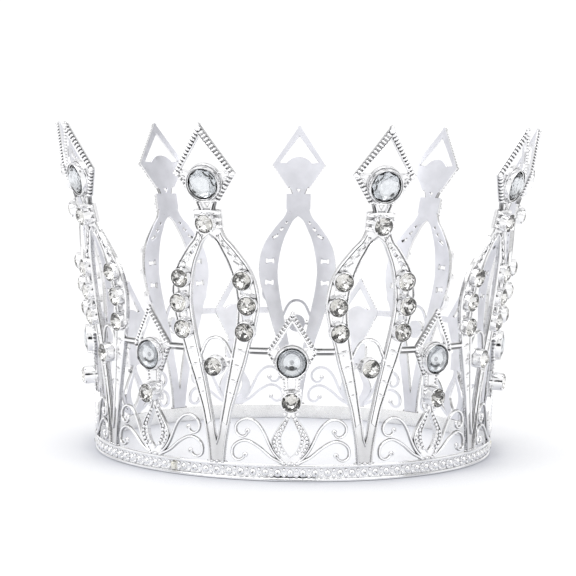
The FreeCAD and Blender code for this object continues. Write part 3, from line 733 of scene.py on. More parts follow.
def tall_mesh():
    b = Build()
    low = (4.95, CREST_Z + math.sqrt(CREST_DISC_R**2 - 4.95**2))
    window = loop_of(kite_window((0, 110.0), (7.9, 99.4), low, CREST_Z, CREST_DISC_R))
    almond = loop_of([TALL_INNER, mirrored(TALL_INNER)], 0.6)
    tri = loop_of(straight([(-0.9, 89.2), (0.9, 89.2), (0, 87.7), (-0.9, 89.2)]), 0.9)
    holes = [window, almond, tri]
    for side in (1, -1):
        for s, z, w, h, lean in SLOTS:
            holes.append(slot_loop(side * s, z, w, h, side * lean))
    plate(b, [loop_of(tall_outline(), 0.6)] + holes, WALL_IN, 0.12, 0.14, 1.6, (0.9, 0.78, 1.0))

    outer = spline(TALL_OUTER, 0.6)
    inner = spline(TALL_INNER, 0.5)
    for side in (1, -1):
        o = outer * [side, 1]
        sweep(b, aside(o, -0.37 * side, False), RIM, width=0.74, low=-0.3, high=0.92, tone=RIM_TONE)
    ring = np.vstack([inner[:-1], (inner * [-1, 1])[::-1][:-1]])
    sweep(b, aside(ring, 0.36, True), RIM, True, 0.72, -0.3, 0.92, RIM_TONE)

    # the raised floor of the channel, cut by the slots
    for side in (1, -1):
        a = beside(TALL_INNER, 77.2, 18.5, FLOOR_GAP)
        c = beside(TALL_OUTER, 80.4, 17.0, -FLOOR_GAP)
        ring = np.vstack([a, c[::-1]]) * [side, 1]
        cuts = [slot_loop(side * s, z, w, h, side * lean) for s, z, w, h, lean in SLOTS]
        plate(b, [ring] + cuts, -0.2, 0.5, 0.1, 1.4, (0.97, 0.5, 1.0))
        for s, z, w, h, lean in SLOTS[:2]:
            # raised lips above and below each waisted slot
            for dz in (-1.28, 1.28):
                c, d = math.cos(math.radians(lean)), math.sin(math.radians(lean))
                pip(b, side * (s - dz * d), z + dz * c, 0.5, 3.3, 0.42, 0.55, side * lean, 1.0)
        for s, z, w, lean in ((7.8, 72.0, 1.1, -35), (5.6, 74.65, 0.95, -40), (3.95, 76.9, 0.8, -42), (9.75, 69.25, 1.3, -28), (2.9, 78.4, 0.6, -42)):
            c, d = math.cos(math.radians(lean)), math.sin(math.radians(lean))
            w *= 1.22
            pip(b, side * s, z, 0.58, w, w * 0.95, 0.9, side * lean, 1.0, contact_shade=0.08)
            # a small crescent wire above and two grains beside each bead
            pip(b, side * (s - 0.85 * w * d * 0.8), z + 0.85 * w * c * 0.8, 0.5, w * 1.4, 0.34, 0.6, side * lean, 0.9, contact_shade=0.05)
            for e in (-1, 1):
                pip(b, side * (s + e * w * 0.86 * c), z + e * w * 0.86 * d, 0.5, 0.42, 0.42, 0.55, 0, 1.0, contact_shade=0.08)
        for z in DIVIDERS_Z:
            si, so = table_s(TALL_INNER, z), table_s(TALL_OUTER, z)
            mid, w = (si + so) / 2 * side, (so - si) - 1.5
            pip(b, mid, z, 0.5, w, 0.5, 0.66, -12 * side, 1.0)
            # a thin strip above each divider painted black: painted shade
            pip(b, mid, z + 0.56, 0.44, w * 0.5, 0.3, 0.2, -12 * side, 0.05, contact_shade=0.05)
            pip(b, mid, z - 1.05, 0.5, 0.7, 0.55, 0.5, 0, 1.0, contact_shade=0.4)
        # an empty loop: no ribbed shoulder beads are drawn low on the band
        for z in np.arange(43.6, 46.4, 1.0):
            pass

    # arch, its ties and cup
    arch = ARCH + [(-s, z) for s, z in ARCH[-2::-1]]
    sweep(b, spline(arch, 0.45), STRAND, width=1.0, low=-0.55, high=0.5, tone=STRAND_TONE, back=True)
    for side in (1, -1):
        pip(b, side * 4.1, 37.0, -0.1, 2.2, 1.0, 1.1, 0, 0.9, contact_shade=0.4)
        # a small mark above each tie painted dark: painted shade
        pip(b, side * 4.0, 38.2, 0.25, 0.75, 0.5, 0.5, 0, 0.15)
    cup(b, 0, ARCH_STONE_Z, ARCH_GIRDLE_N)
    for _, s, z in BAND_STONES:
        cup(b, s, z, BAND_GIRDLE_N)
        cup(b, -s, z, BAND_GIRDLE_N)

    # collar: a block painted dark as shade between three ribs, then the neck cup
    blk = loop_of(straight([(-4.5, 81.6), (4.5, 81.6), (4.5, 86.9), (-4.5, 86.9), (-4.5, 81.6)]), 1.0)
    plate(b, [blk], -0.3, 0.75, 0.15, 1.6, (0.4, 0.5, 1.0))
    for z in (82.05, 84.25, 86.45):
        pip(b, 0, z, 0.65, 9.6, 1.55, 1.7, 0, 1.0, 0.5, 20, 9, contact_shade=0.5)
    cup(b, 0, TALL_NECK_Z, NECK_GIRDLE_N)
    claws(b, 0, TALL_NECK_Z, NECK_GIRDLE_N + 0.35)
    # neck: two bars painted black as shade, with a bright fill between them
    for side in (1, -1):
        bar = spline([(side * 3.15, 89.6), (side * 2.55, 88.0), (side * 2.1, 86.6)], 0.4)
        sweep(b, bar, RIM, width=0.6, low=-0.2, high=0.9, tone=0.0)
        bar = spline([(side * 2.3, 89.4), (side * 1.75, 88.0), (side * 1.4, 86.9)], 0.4)
        sweep(b, bar, RIM, width=0.75, low=-0.2, high=0.95, tone=1.0)

    backing(b, [(0, 114.1), (10.5, 98.6), (4.25, 89.6)], 0.95, 98.6)
    # kite: ribbed edges over a groove painted dark as shade, and a plain inner border
    for side in (1, -1):
        strip = np.array([(side * 1.0, 111.0), (side * 9.0, 99.22)]), np.array([(side * 9.0, 97.95), (side * 4.3, 91.25)])
        for q in strip:
            u = (q[1] - q[0]) / np.linalg.norm(q[1] - q[0])
            sweep(b, np.array([q[0] + u * d for d in np.linspace(0, np.linalg.norm(q[1] - q[0]), 12)]), RIM, width=0.85, low=-0.3, high=0.36, tone=0.12)
        rope(b, (0, 114.2), (side * 10.6, 98.6), 0.92, 1.84, 1.28, 0.14, 1.86, skew=-8 * side, margin=(1.5, 0.9), side=-side)
        rope(b, (side * 10.6, 98.6), (side * 4.1, 89.3), 0.92, 1.84, 1.28, 0.14, 1.86, skew=8 * side, margin=(1.3, 0.5), side=-side)
        pip(b, side * 9.68, 98.62, 0.14, 1.8, 1.1, 1.86, 0, 1.0, 0.72, contact_shade=0.4)
        # short marks between the setting and the corner
        for q, (s, z, a) in enumerate(((7.7, 99.0, 40), (7.3, 97.4, 15), (6.9, 95.8, -5), (6.6, 94.2, -20))):
            pip(b, side * s, z, 0.3, 1.3, 0.55, 0.8, side * a, 1.0, contact_shade=0.2)
    pip(b, 0, 113.15, 0.14, 1.2, 2.0, 1.8, 0, 1.0, 0.72, contact_shade=0.4)
    w = aside(window if area(window) > 0 else window[::-1], -0.24, True)
    sweep(b, w, RIM, True, 0.44, -0.3, 0.72)
    bezel(b, CREST_Z, TALL_BEZEL_R, TALL_GEM_R + 0.02)

    # braze at the foot
    for s, w, h in ((-1.7, 1.5, 0.9), (0.1, 1.7, 1.1), (1.8, 1.4, 0.85)):
        pip(b, s, 5.55, 0.25, w, h, 1.1, 0, 0.8, 1.0)
    for side in (1, -1):
        pip(b, side * 2.9, 5.62, -0.2, 1.5, 0.7, 1.2, 0, 0.75, 1.0)
    return b


# ---------------------------------------------------------------------------
# small spire
# ---------------------------------------------------------------------------
def small_outline():
    right = straight([(0.0, 54.36), (7.68, 42.27), (2.9, 32.9), (2.4, 30.0)])
    right += [
        [SMALL_KITE[-1], (SMALL_COLLAR_S, SMALL_COLLAR_Z1)],
        [(SMALL_COLLAR_S, SMALL_COLLAR_Z1), (SMALL_COLLAR_S, SMALL_COLLAR_Z0)],
        [(SMALL_COLLAR_S, SMALL_COLLAR_Z0), MARQUISE[0]],
        MARQUISE,
        [MARQUISE[-1], (FOOT_S, BAND_H)],
    ]
    left = [mirrored(r) for r in right[::-1]]
    return right + [[(FOOT_S, BAND_H), (-FOOT_S, BAND_H)]] + left


def link_end():
    """Where the link bars meet the tall spires' edges."""
    z = (LINK_Z0 + LINK_Z1) / 2
    r = FLARE_X - math.sqrt(FLARE_RHO**2 - (z - FLARE_Z) ** 2)
    return math.radians(20.0) * r - table_s(TALL_OUTER, z)


def small_mesh():
    b = Build()
    r = 5.5
    low = (3.6, SMALL_CREST_Z + math.sqrt(r * r - 3.6**2))
    window = loop_of(kite_window((0, 51.3), (4.9, 43.5), low, SMALL_CREST_Z, r), 0.6)
    eye = loop_of([MARQUISE_HOLE, mirrored(MARQUISE_HOLE)], 0.5)
    plate(b, [loop_of(small_outline(), 0.6), window, eye], WALL_IN, 0.15, 0.14, 1.5, (2.2, 0.8, 1.0))

    backing(b, [(0, 55.1), (8.12, 42.3), (3.4, 33.0)], 0.8, 42.3)
    # kite border: an inner face painted dark as shade, ribs along the rim
    for side in (1, -1):
        rope(b, (0, 55.2), (side * 8.2, 42.3), 0.74, 1.48, 1.26, 0.15, 1.7, skew=-6 * side, margin=(0.75, 0.7), wide=0.76, side=-side, contact_shade=0.2)
        rope(b, (side * 8.2, 42.3), (side * 3.3, 32.7), 0.55, 1.1, 1.26, 0.15, 1.7, skew=6 * side, margin=(0.9, 0.6), wide=0.78, side=-side, contact_shade=0.2)
        a, c = np.array([side * 0.35, 53.68]), np.array([side * 7.45, 42.51])
        u = (c - a) / np.linalg.norm(c - a)
        sweep(b, np.array([a + u * d for d in np.linspace(0, np.linalg.norm(c - a), 14)]), RIM, width=0.62, low=-0.5, high=0.42, tone=0.2)
        # corner knob, and two nicks below it where the kite turns in, painted black as shade
        pip(b, side * 7.5, 42.3, 0.15, 1.4, 0.95, 1.7, 0, 1.0, 0.72, contact_shade=0.3)
        pip(b, side * 7.1, 40.95, 0.15, 1.25, 0.6, 1.5, side * 38, 0.0, contact_shade=0.0)
        pip(b, side * 6.45, 39.8, 0.15, 1.0, 0.5, 1.5, side * 38, 0.0, contact_shade=0.0)
        for q in range(4):
            z = 34.0 - q * 1.15
            pip(b, side * (2.62 - q * 0.12), z, 0.35, 0.9, 0.8, 0.95, side * -20, 1.0, contact_shade=0.45)
    pip(b, 0, 54.75, 0.15, 0.8, 0.8, 1.6, 0, 1.0, 0.8, contact_shade=0.2)
    w = aside(window if area(window) > 0 else window[::-1], -0.5, True)
    sweep(b, w, RIM, True, 0.95, -0.3, 0.66)
    stem = loop_of(straight([(-1.5, 34.2), (1.5, 34.2), (1.2, 29.9), (-1.2, 29.9), (-1.5, 34.2)]), 1.0)
    plate(b, [stem[::-1]], -0.2, 0.5, 0.15, 1.5, (0.85, 0.6, 1.0))
    bezel(b, SMALL_CREST_Z, SMALL_BEZEL_R, SMALL_GEM_R + 0.02)

    # collar and neck cup
    for z, h in ((24.6, 1.7), (26.9, 1.7), (28.9, 1.3)):
        pip(b, 0, z, 0.5, 6.6, 1.3, h, 0, 1.8, 0.7, 18, 9, contact_shade=1.8)
    cup(b, 0, SMALL_NECK_Z, SMALL_GIRDLE_N, 3.22)
    claws(b, 0, SMALL_NECK_Z, SMALL_GIRDLE_N + 0.35)

    # marquise: rims and rows of beads
    out_edge = spline(MARQUISE, 0.4)
    eye_half = spline(MARQUISE_HOLE, 0.3)
    for side in (1, -1):
        e = out_edge[1:] * [side, 1]
        sweep(b, aside(e, -0.26 * side, False), RIM, width=0.5, low=-0.3, high=0.8, tone=RIM_TONE)
        for k, z in enumerate(np.arange(20.3, 8.0, -1.24)):
            si, so = table_s(MARQUISE_HOLE, z) + 0.78, table_s(MARQUISE, z) - 0.95
            count = max(1, int((so - si) / 1.2) + 1)
            for q in range(count):
                u = 0.5 if count == 1 else (q + (0.2 if k % 2 else -0.2) * (count > 2)) / (count - 1)
                pip(b, side * (si + (so - si) * min(1.0, max(0.0, u))), z, 0.32, 1.22, 1.22, 1.25, 0, 1.6, 1.0, 12, 8, contact_shade=0.55)
        pip(b, side * 1.95, 21.9, 0.45, 1.35, 1.35, 1.3, 0, 1.0, 1.0, 14, 8, contact_shade=0.3)
    ring = np.vstack([eye_half[:-1], (eye_half * [-1, 1])[::-1][:-1]])
    sweep(b, aside(ring, 0.2, True), RIM, True, 0.4, -0.3, 0.7)
    # foot block and braze
    for s, wd, h in ((-2.2, 1.6, 1.0), (0.0, 2.4, 1.3), (2.2, 1.6, 1.0)):
        pip(b, s, 5.75, 0.3, wd, h, 1.2, 0, 0.85, 1.0)

    # scrolls: round wire that thins to its bead
    for path in (UPPER_SCROLL, LOWER_SCROLL):
        p = spline(path, 0.4)
        k = len(p)
        taper = np.interp(np.arange(k) / (k - 1), [0, 0.7, 1.0], [1.0, 1.0, 0.8])
        for side in (1, -1):
            sweep(b, p * [side, 1], STRAND, width=1.05, low=-0.6, high=0.55, taper=taper, tone=STRAND_TONE, back=True)
            s, z = path[-1]
            pip(b, side * s, z, 0.05, 1.9, 1.9, 1.5, 0, 1.0, 1.0, 14, 9, contact_shade=0.9)
            # a small dot on top of each end bead painted dark: painted shade
            pip(b, side * s, z, 0.66, 0.7, 0.7, 0.5, 0, 0.25, 1.0, 10, 7)

    # links to the two tall spires: a rounded bar with painted shade on its edges
    end = link_end()
    zc = (LINK_Z0 + LINK_Z1) / 2
    prof = [(-0.5, 0.0), (-0.5, 0.34), (-0.12, 0.44), (-0.08, 0.92), (0.0, 1.0), (0.18, 1.0), (0.3, 0.9), (0.32, 0.5), (0.5, 0.42), (0.5, 0.0)]
    for a, c in ((7.3, end + 0.02), (-end - 0.02, -7.3)):
        sweep(b, spline([(a, zc - 0.12), (c, zc - 0.12)], 0.8), prof, width=2.3, low=-0.6, high=0.7,
              tone=[1.0, 0.08, 0.0, 0.6, 1.0, 1.0, 0.8, 0.12, 0.3, 1.0], back=True)
    return b


# ---------------------------------------------------------------------------
# base band
# ---------------------------------------------------------------------------
def around(r, deg, z):
    t = math.radians(deg)
    return (r * math.sin(t), -r * math.cos(t), z)


def arc_mesh(start):
    b = Build()
    span = 120.0
    steps = 160
    prof = [
        (BAND_INNER_R, 0.12), (BAND_INNER_R + 0.12, 0), (BAND_OUTER_R - 0.2, 0), (BAND_OUTER_R - 0.04, 0.12),
        (BAND_OUTER_R, 0.4), (BAND_OUTER_R - 0.05, 0.85), (BAND_OUTER_R - 0.25, 1.08), (BAND_FLOOR_R + 0.05, 1.16), (BAND_FLOOR_R, 1.35),
        (BAND_FLOOR_R, BAND_H - 1.35), (BAND_FLOOR_R + 0.05, BAND_H - 1.16), (BAND_OUTER_R - 0.25, BAND_H - 1.08), (BAND_OUTER_R - 0.05, BAND_H - 0.85),
        (BAND_OUTER_R, BAND_H - 0.45), (BAND_OUTER_R - 0.05, BAND_H - 0.14), (BAND_OUTER_R - 0.2, BAND_H), (BAND_INNER_R + 0.12, BAND_H), (BAND_INNER_R, BAND_H - 0.12),
    ]
    tone = [1, 1, 1, 1, 1, 1, 1, 1.1, 1.6, 1.6, 1.1, 1, 1, 1, 1, 1, 1, 1]
    m = len(prof)
    v, t = [], []
    for i in range(steps + 1):
        a = start + span * i / steps
        for (r, z), tn in zip(prof, tone):
            v.append(around(r, a, z))
            t.append(tn)
    f = []
    for i in range(steps):
        for j in range(m):
            k = (j + 1) % m
            f.append((i * m + j, (i + 1) * m + j, (i + 1) * m + k, i * m + k))
    f.append(tuple(range(m)))
    f.append(tuple(steps * m + j for j in range(m))[::-1])
    mats = [1 if q % m in (0, m - 1, m - 2) else 0 for q in range(steps * m)] + [0, 0]
    b.add(np.array(v) * MM, f, mats, np.array(t))

    def bead(r0, deg, z, rad, lon=14, lat=8, flat=1.0, tones=(0.8, 1.6)):
        vv, ff, tt = [], [], []
        for i in range(1, lat):
            w = math.pi * i / lat - math.pi / 2
            for j in range(lon):
                q = 2 * math.pi * j / lon
                vv.append((rad * math.cos(w) * math.cos(q), rad * math.cos(w) * math.sin(q), rad * flat * math.sin(w)))
        vv += [(0, 0, -rad * flat), (0, 0, rad * flat)]
        for i in range(lat - 2):
            for j in range(lon):
                k = (j + 1) % lon
                ff.append((i * lon + j, i * lon + k, (i + 1) * lon + k, (i + 1) * lon + j))
        for j in range(lon):
            k = (j + 1) % lon
            ff.append((len(vv) - 2, k, j))
            ff.append((len(vv) - 1, (lat - 2) * lon + j, (lat - 2) * lon + k))
        vv = np.array(vv)
        # the half towards the band floor takes the first tone, darker: painted shade; the outer half takes the brighter
        # second
        tt = np.where(vv[:, 2] < 0.1 * rad, *tones)
        vv[:, 2] = np.maximum(vv[:, 2], BAND_INNER_R + 0.4 - r0)
        th = math.radians(deg)
        e = np.array([math.cos(th), math.sin(th), 0])
        n = np.array([math.sin(th), -math.cos(th), 0])
        c = np.array(around(r0, deg, z))
        out = c + vv[:, :1] * e + vv[:, 1:2] * np.array([0, 0, 1.0]) + vv[:, 2:] * n
        b.add(out * MM, ff, 0, tt)

    pitch = 360.0 / BEAD_COUNT
    per = BEAD_COUNT // 3
    for i in range(per):
        a = start + i * pitch
        if i > 0:
            bead(BAND_FLOOR_R - 0.4, a, BAND_H / 2, BEAD_R - 0.08, 16, 10)
            # a small black bead on the crest of some beads: a painted dark reflection
            if i % 5 in (1, 2, 4):
                bead(BAND_FLOOR_R + BEAD_R - 0.62, a, BAND_H / 2, 0.34, 10, 6, tones=(0.0, 0.0))
        for z in (1.78, BAND_H - 1.78):
            bead(BAND_FLOOR_R, a + pitch / 2, z, SMALL_BEAD_R, 10, 6)
    return b


def tab_mesh():
    """Small upright plates brazed over the three seams, narrowing above and below."""
    b = Build()
    for i in range(3):
        deg = SEAM_DEG + 120 * i
        th = math.radians(deg)
        e = np.array([math.cos(th), math.sin(th), 0])
        n = np.array([math.sin(th), -math.cos(th), 0])
        up = np.array([0, 0, 1.0])
        c = np.array(around(BAND_FLOOR_R, deg, BAND_H / 2))
        prof = [(-0.75, -0.02), (-0.75, 0.7), (-0.5, 0.98), (0.0, 1.08), (0.5, 0.98), (0.75, 0.7), (0.75, -0.02)]
        rows = [(-1.3, 0.55), (-1.22, 0.85), (-1.0, 1.0), (0.0, 1.0), (1.0, 1.0), (1.22, 0.85), (1.3, 0.55)]
        v = []
        for z, k in rows:
            for u, h in prof:
                v.append(c + e * u * (0.8 + 0.2 * k) + n * h * (k if h > 0 else 1) + up * z)
        m = len(prof)
        f = []
        for a in range(len(rows) - 1):
            for q in range(m):
                w = (q + 1) % m
                f.append((a * m + q, (a + 1) * m + q, (a + 1) * m + w, a * m + w))
        f.append(tuple(range(m)))
        f.append(tuple((len(rows) - 1) * m + q for q in range(m))[::-1])
        b.add(np.array(v) * MM, f, 0, 1.0)
    return b


# ---------------------------------------------------------------------------
# materials
# ---------------------------------------------------------------------------
def node_material(name):
    m = bpy.data.materials.new(name)
    m.use_nodes = True
    nt = m.node_tree
    nt.nodes.clear()
    out = nt.nodes.new("ShaderNodeOutputMaterial")
    bsdf = nt.nodes.new("ShaderNodeBsdfPrincipled")
    nt.links.new(bsdf.outputs["BSDF"], out.inputs["Surface"])
    return m, nt, bsdf


def plated(name, bright, dark, rough, grain=900.0, ao_mm=1.0, bumps=0.16, wear=0.5, low=None):
    """Bright plate over a casting: darker in the recesses, partly the oxide in the hollows and partly painted shade,
    and darker where the tone attribute paints shade, finely uneven, with soft stains. low: the colour near the base, if
    it differs; it is painted light reflected from the floor.
    """
    m, nt, bsdf = node_material(name)
    new, link = nt.nodes.new, nt.links.new
    co = new("ShaderNodeTexCoord")
    tone = new("ShaderNodeAttribute")
    tone.attribute_name = "tone"
    # AO darkens the recesses: partly the oxide in the hollows, partly painted shade
    ao = new("ShaderNodeAmbientOcclusion")
    ao.samples = 6
    ao.inside = False
    ao.inputs["Distance"].default_value = ao_mm * MM
    ramp = new("ShaderNodeMapRange")
    ramp.inputs["From Min"].default_value = 0.10
    ramp.inputs["From Max"].default_value = 0.66
    link(ao.outputs["AO"], ramp.inputs["Value"])
    # the tone attribute scales this per vertex, painting shade on flanks, inner walls and under parts
    both = new("ShaderNodeMath")
    both.operation = "MULTIPLY"
    link(tone.outputs["Fac"], both.inputs[0])
    link(ramp.outputs["Result"], both.inputs[1])
    stain = new("ShaderNodeTexNoise")
    stain.inputs["Scale"].default_value = 160.0
    stain.inputs["Detail"].default_value = 4.0
    link(co.outputs["Object"], stain.inputs["Vector"])
    soft = new("ShaderNodeMapRange")
    soft.inputs["From Min"].default_value = 0.3
    soft.inputs["From Max"].default_value = 0.7
    soft.inputs["To Min"].default_value = 0.86
    soft.inputs["To Max"].default_value = 1.0
    link(stain.outputs["Fac"], soft.inputs["Value"])
    mix = new("ShaderNodeMix")
    mix.data_type = "RGBA"
    mix.inputs["A"].default_value = (*dark, 1)
    mix.inputs["B"].default_value = (*bright, 1)
    link(both.outputs[0], mix.inputs["Factor"])
    # lighter towards the base: painted light reflected from the white floor
    if low is not None:
        xyz = new("ShaderNodeSeparateXYZ")
        link(co.outputs["Object"], xyz.inputs["Vector"])
        up = new("ShaderNodeMapRange")
        up.inputs["From Min"].default_value = 0.040
        up.inputs["From Max"].default_value = 0.068
        link(xyz.outputs["Z"], up.inputs["Value"])
        grade = new("ShaderNodeMix")
        grade.data_type = "RGBA"
        grade.inputs["A"].default_value = (*low, 1)
        grade.inputs["B"].default_value = (*bright, 1)
        link(up.outputs["Result"], grade.inputs["Factor"])
        link(grade.outputs["Result"], mix.inputs["B"])
    mul = new("ShaderNodeMix")
    mul.data_type = "RGBA"
    mul.blend_type = "MULTIPLY"
    mul.inputs["Factor"].default_value = 1.0
    link(mix.outputs["Result"], mul.inputs["A"])
    link(soft.outputs["Result"], mul.inputs["B"])
    bsdf.inputs["Metallic"].default_value = 1.0
    rn = new("ShaderNodeTexNoise")
    rn.inputs["Scale"].default_value = 420.0
    rn.inputs["Detail"].default_value = 3.0
    link(co.outputs["Object"], rn.inputs["Vector"])
    rr = new("ShaderNodeMapRange")
    rr.inputs["To Min"].default_value = rough * 0.7
    rr.inputs["To Max"].default_value = rough * 1.35
    link(rn.outputs["Fac"], rr.inputs["Value"])
    # edges are rubbed a little brighter and smoother than the faces
    geo = new("ShaderNodeNewGeometry")
    edge = new("ShaderNodeMapRange")
    edge.inputs["From Min"].default_value = 0.50
    edge.inputs["From Max"].default_value = 0.62
    link(geo.outputs["Pointiness"], edge.inputs["Value"])
    worn = new("ShaderNodeMath")
    worn.operation = "MULTIPLY"
    worn.inputs[1].default_value = wear
    link(edge.outputs["Result"], worn.inputs[0])
    less = new("ShaderNodeMapRange")
    less.inputs["To Min"].default_value = 1.0
    less.inputs["To Max"].default_value = 0.55
    link(worn.outputs[0], less.inputs["Value"])
    rm = new("ShaderNodeMath")
    rm.operation = "MULTIPLY"
    link(rr.outputs["Result"], rm.inputs[0])
    link(less.outputs["Result"], rm.inputs[1])
    link(rm.outputs[0], bsdf.inputs["Roughness"])
    rub = new("ShaderNodeMix")
    rub.data_type = "RGBA"
    rub.inputs["B"].default_value = (*[min(1.0, c * 1.03) for c in bright], 1)
    link(worn.outputs[0], rub.inputs["Factor"])
    link(mul.outputs["Result"], rub.inputs["A"])
    link(rub.outputs["Result"], bsdf.inputs["Base Color"])
    bn = new("ShaderNodeTexNoise")
    bn.inputs["Scale"].default_value = grain
    bn.inputs["Detail"].default_value = 2.0
    link(co.outputs["Object"], bn.inputs["Vector"])
    bump = new("ShaderNodeBump")
    bump.inputs["Strength"].default_value = bumps
    bump.inputs["Distance"].default_value = 0.00025
    link(bn.outputs["Fac"], bump.inputs["Height"])
    link(bump.outputs["Normal"], bsdf.inputs["Normal"])
    return m


def crystal(name, tint, ior=1.58, rough=0.0):
    m, nt, bsdf = node_material(name)
    new, link = nt.nodes.new, nt.links.new
    co = new("ShaderNodeTexCoord")
    n = new("ShaderNodeTexNoise")
    n.inputs["Scale"].default_value = 240.0
    link(co.outputs["Object"], n.inputs["Vector"])
    mp = new("ShaderNodeMix")
    mp.data_type = "RGBA"
    mp.inputs["A"].default_value = (*[c * 0.92 for c in tint], 1)
    mp.inputs["B"].default_value = (*tint, 1)
    link(n.outputs["Fac"], mp.inputs["Factor"])
    link(mp.outputs["Result"], bsdf.inputs["Base Color"])
    bsdf.inputs["Transmission Weight"].default_value = 1.0
    bsdf.inputs["IOR"].default_value = ior
    bsdf.inputs["Roughness"].default_value = rough
    return m


def foil(name, light, dark, rough=0.05, metal=1.0):
    """Vacuum foil behind a stone: a mirror with small clouded patches."""
    m, nt, bsdf = node_material(name)
    new, link = nt.nodes.new, nt.links.new
    co = new("ShaderNodeTexCoord")
    n = new("ShaderNodeTexNoise")
    n.inputs["Scale"].default_value = 700.0
    n.inputs["Detail"].default_value = 3.0
    link(co.outputs["Object"], n.inputs["Vector"])
    r = new("ShaderNodeMapRange")
    r.inputs["From Min"].default_value = 0.38
    r.inputs["From Max"].default_value = 0.62
    link(n.outputs["Fac"], r.inputs["Value"])
    mp = new("ShaderNodeMix")
    mp.data_type = "RGBA"
    mp.inputs["A"].default_value = (*dark, 1)
    mp.inputs["B"].default_value = (*light, 1)
    link(r.outputs["Result"], mp.inputs["Factor"])
    link(mp.outputs["Result"], bsdf.inputs["Base Color"])
    bsdf.inputs["Metallic"].default_value = metal
    bsdf.inputs["Roughness"].default_value = rough
    return m


SILVER = plated("plated_silver", (0.94, 0.94, 0.95), (0.055, 0.055, 0.058), 0.12)
INNER = plated("plated_inner", (0.985, 0.98, 0.96), (0.72, 0.71, 0.69), 0.26, 500.0, 0.8, 0.05, 0.2)
# back faces: the lavender-grey colour is painted shade, lighter towards the base as painted floor reflection
SATIN_BACK_SHADE = plated("plated_satin_back_shade", (0.825, 0.83, 0.885), (0.42, 0.42, 0.46), 0.32, 500.0, 0.8, 0.03, 0.2, low=(0.955, 0.957, 0.99))
BRAZE = plated("braze_metal", (0.93, 0.91, 0.83), (0.12, 0.11, 0.09), 0.24, 600.0)
CLEAR = crystal("clear_crystal", (0.985, 0.985, 0.985), 1.5)
GREY = crystal("grey_crystal", (0.965, 0.978, 0.99), 1.49)
FOIL = foil("stone_foil", (0.90, 0.896, 0.886), (0.76, 0.753, 0.73), 0.015, 0.95)
FOIL_PAINTED_DARK_REFLECTION = foil("stone_foil_painted_dark_reflection", (0.19, 0.188, 0.182), (0.12, 0.118, 0.114), 0.03)
GREYFOIL = foil("grey_foil", (0.84, 0.855, 0.87), (0.74, 0.755, 0.775), 0.05, 0.92)
GREYFOIL_PAINTED_DARK_REFLECTION = foil("grey_foil_painted_dark_reflection", (0.22, 0.23, 0.245), (0.15, 0.155, 0.165), 0.05)
GREYFOIL_PAINTED_MID_REFLECTION = foil("grey_foil_painted_mid_reflection", (0.50, 0.51, 0.525), (0.40, 0.41, 0.425), 0.06)

# ---------------------------------------------------------------------------
# put the pieces in place
# ---------------------------------------------------------------------------
scene = bpy.context.scene


def piece(name, me, mats, deg=0.0, replaces=None):
    me = me.copy()
    me.name = name + "_mesh"
    me.transform(Matrix.Rotation(math.radians(deg), 4, "Z"))
    o = bpy.data.objects.new(name, me)
    for m in mats:
        me.materials.append(m)
    scene.collection.objects.link(o)
    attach(o, "root")
    for n in replaces or []:
        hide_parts(n)
    return o


tall_me = footed(tall_mesh(), 13.5, 19.0, 0.72).mesh("tall_spire_mesh")
small_me = small_mesh().mesh("small_spire_mesh")
for i in range(9):
    piece("tall_spire_looks_%d" % (i + 1), tall_me, [SILVER, SATIN_BACK_SHADE], 20 + 40 * i, ["tall_spire_%d" % (i + 1)])
    piece("small_spire_looks_%d" % (i + 1), small_me, [SILVER, SATIN_BACK_SHADE], 40 * i, ["small_spire_%d" % (i + 1)])
arc_me = arc_mesh(SEAM_DEG).mesh("band_arc_mesh")
for i in range(3):
    piece("band_arc_looks_%d" % (i + 1), arc_me, [SILVER, INNER], 120 * i, ["base_band_arc_%d" % (i + 1)])
piece("band_tabs_looks", tab_mesh().mesh("band_tab_mesh"), [BRAZE], 0, ["band_splice_tabs"])


def turn(v, deg):
    c, s = math.cos(math.radians(deg)), math.sin(math.radians(deg))
    v = np.asarray(v)
    return np.column_stack([v[:, 0] * c - v[:, 1] * s, v[:, 0] * s + v[:, 1] * c, v[:, 2]])


def stones(name, node, places, degs, make, mats, fixed=False):
    b = Build()
    for d in degs:
        for s, z, n in places:
            v, f, back = make()
            m = seat(s, z, n, 0.0 if fixed else random.uniform(0, math.tau))
            b.add(turn(rigid(v, m), d), f, back, 1.0)
    return piece(name, b.mesh(name + "_mesh", 0), mats, 0, [node])


tall_at = [20 + 40 * i for i in range(9)]
small_at = [40 * i for i in range(9)]


def chaton():
    return brilliant(STONE_R, STONE_LEDGE_R, STONE_GIRDLE, STONE_CROWN, STONE_TABLE_R, STONE_CULET)


stones("tall_neck_stones", "tall_neck_chatons", [(0, TALL_NECK_Z, NECK_GIRDLE_N)], tall_at, chaton, [CLEAR, FOIL, FOIL_PAINTED_DARK_REFLECTION])
stones("small_neck_stones", "small_neck_chatons", [(0, SMALL_NECK_Z, SMALL_GIRDLE_N)], small_at, chaton, [CLEAR, FOIL, FOIL_PAINTED_DARK_REFLECTION])
stones("arch_stones", "arch_chatons", [(0, ARCH_STONE_Z, ARCH_GIRDLE_N)], tall_at, chaton, [CLEAR, FOIL, FOIL_PAINTED_DARK_REFLECTION])
for nm, s, z in BAND_STONES:
    stones("%s_band_stones" % nm, "%s_band_chatons" % nm, [(s, z, BAND_GIRDLE_N), (-s, z, BAND_GIRDLE_N)], tall_at, chaton, [CLEAR, FOIL, FOIL_PAINTED_DARK_REFLECTION])
stones("tall_crest_stones", "tall_crest_gems", [(0, CREST_Z, 0)], tall_at, lambda: crest_stone(TALL_GEM_R, 1.5, 1.7, 1.7, 2.9, 0.64, 8), [GREY, GREYFOIL, GREYFOIL_PAINTED_DARK_REFLECTION])
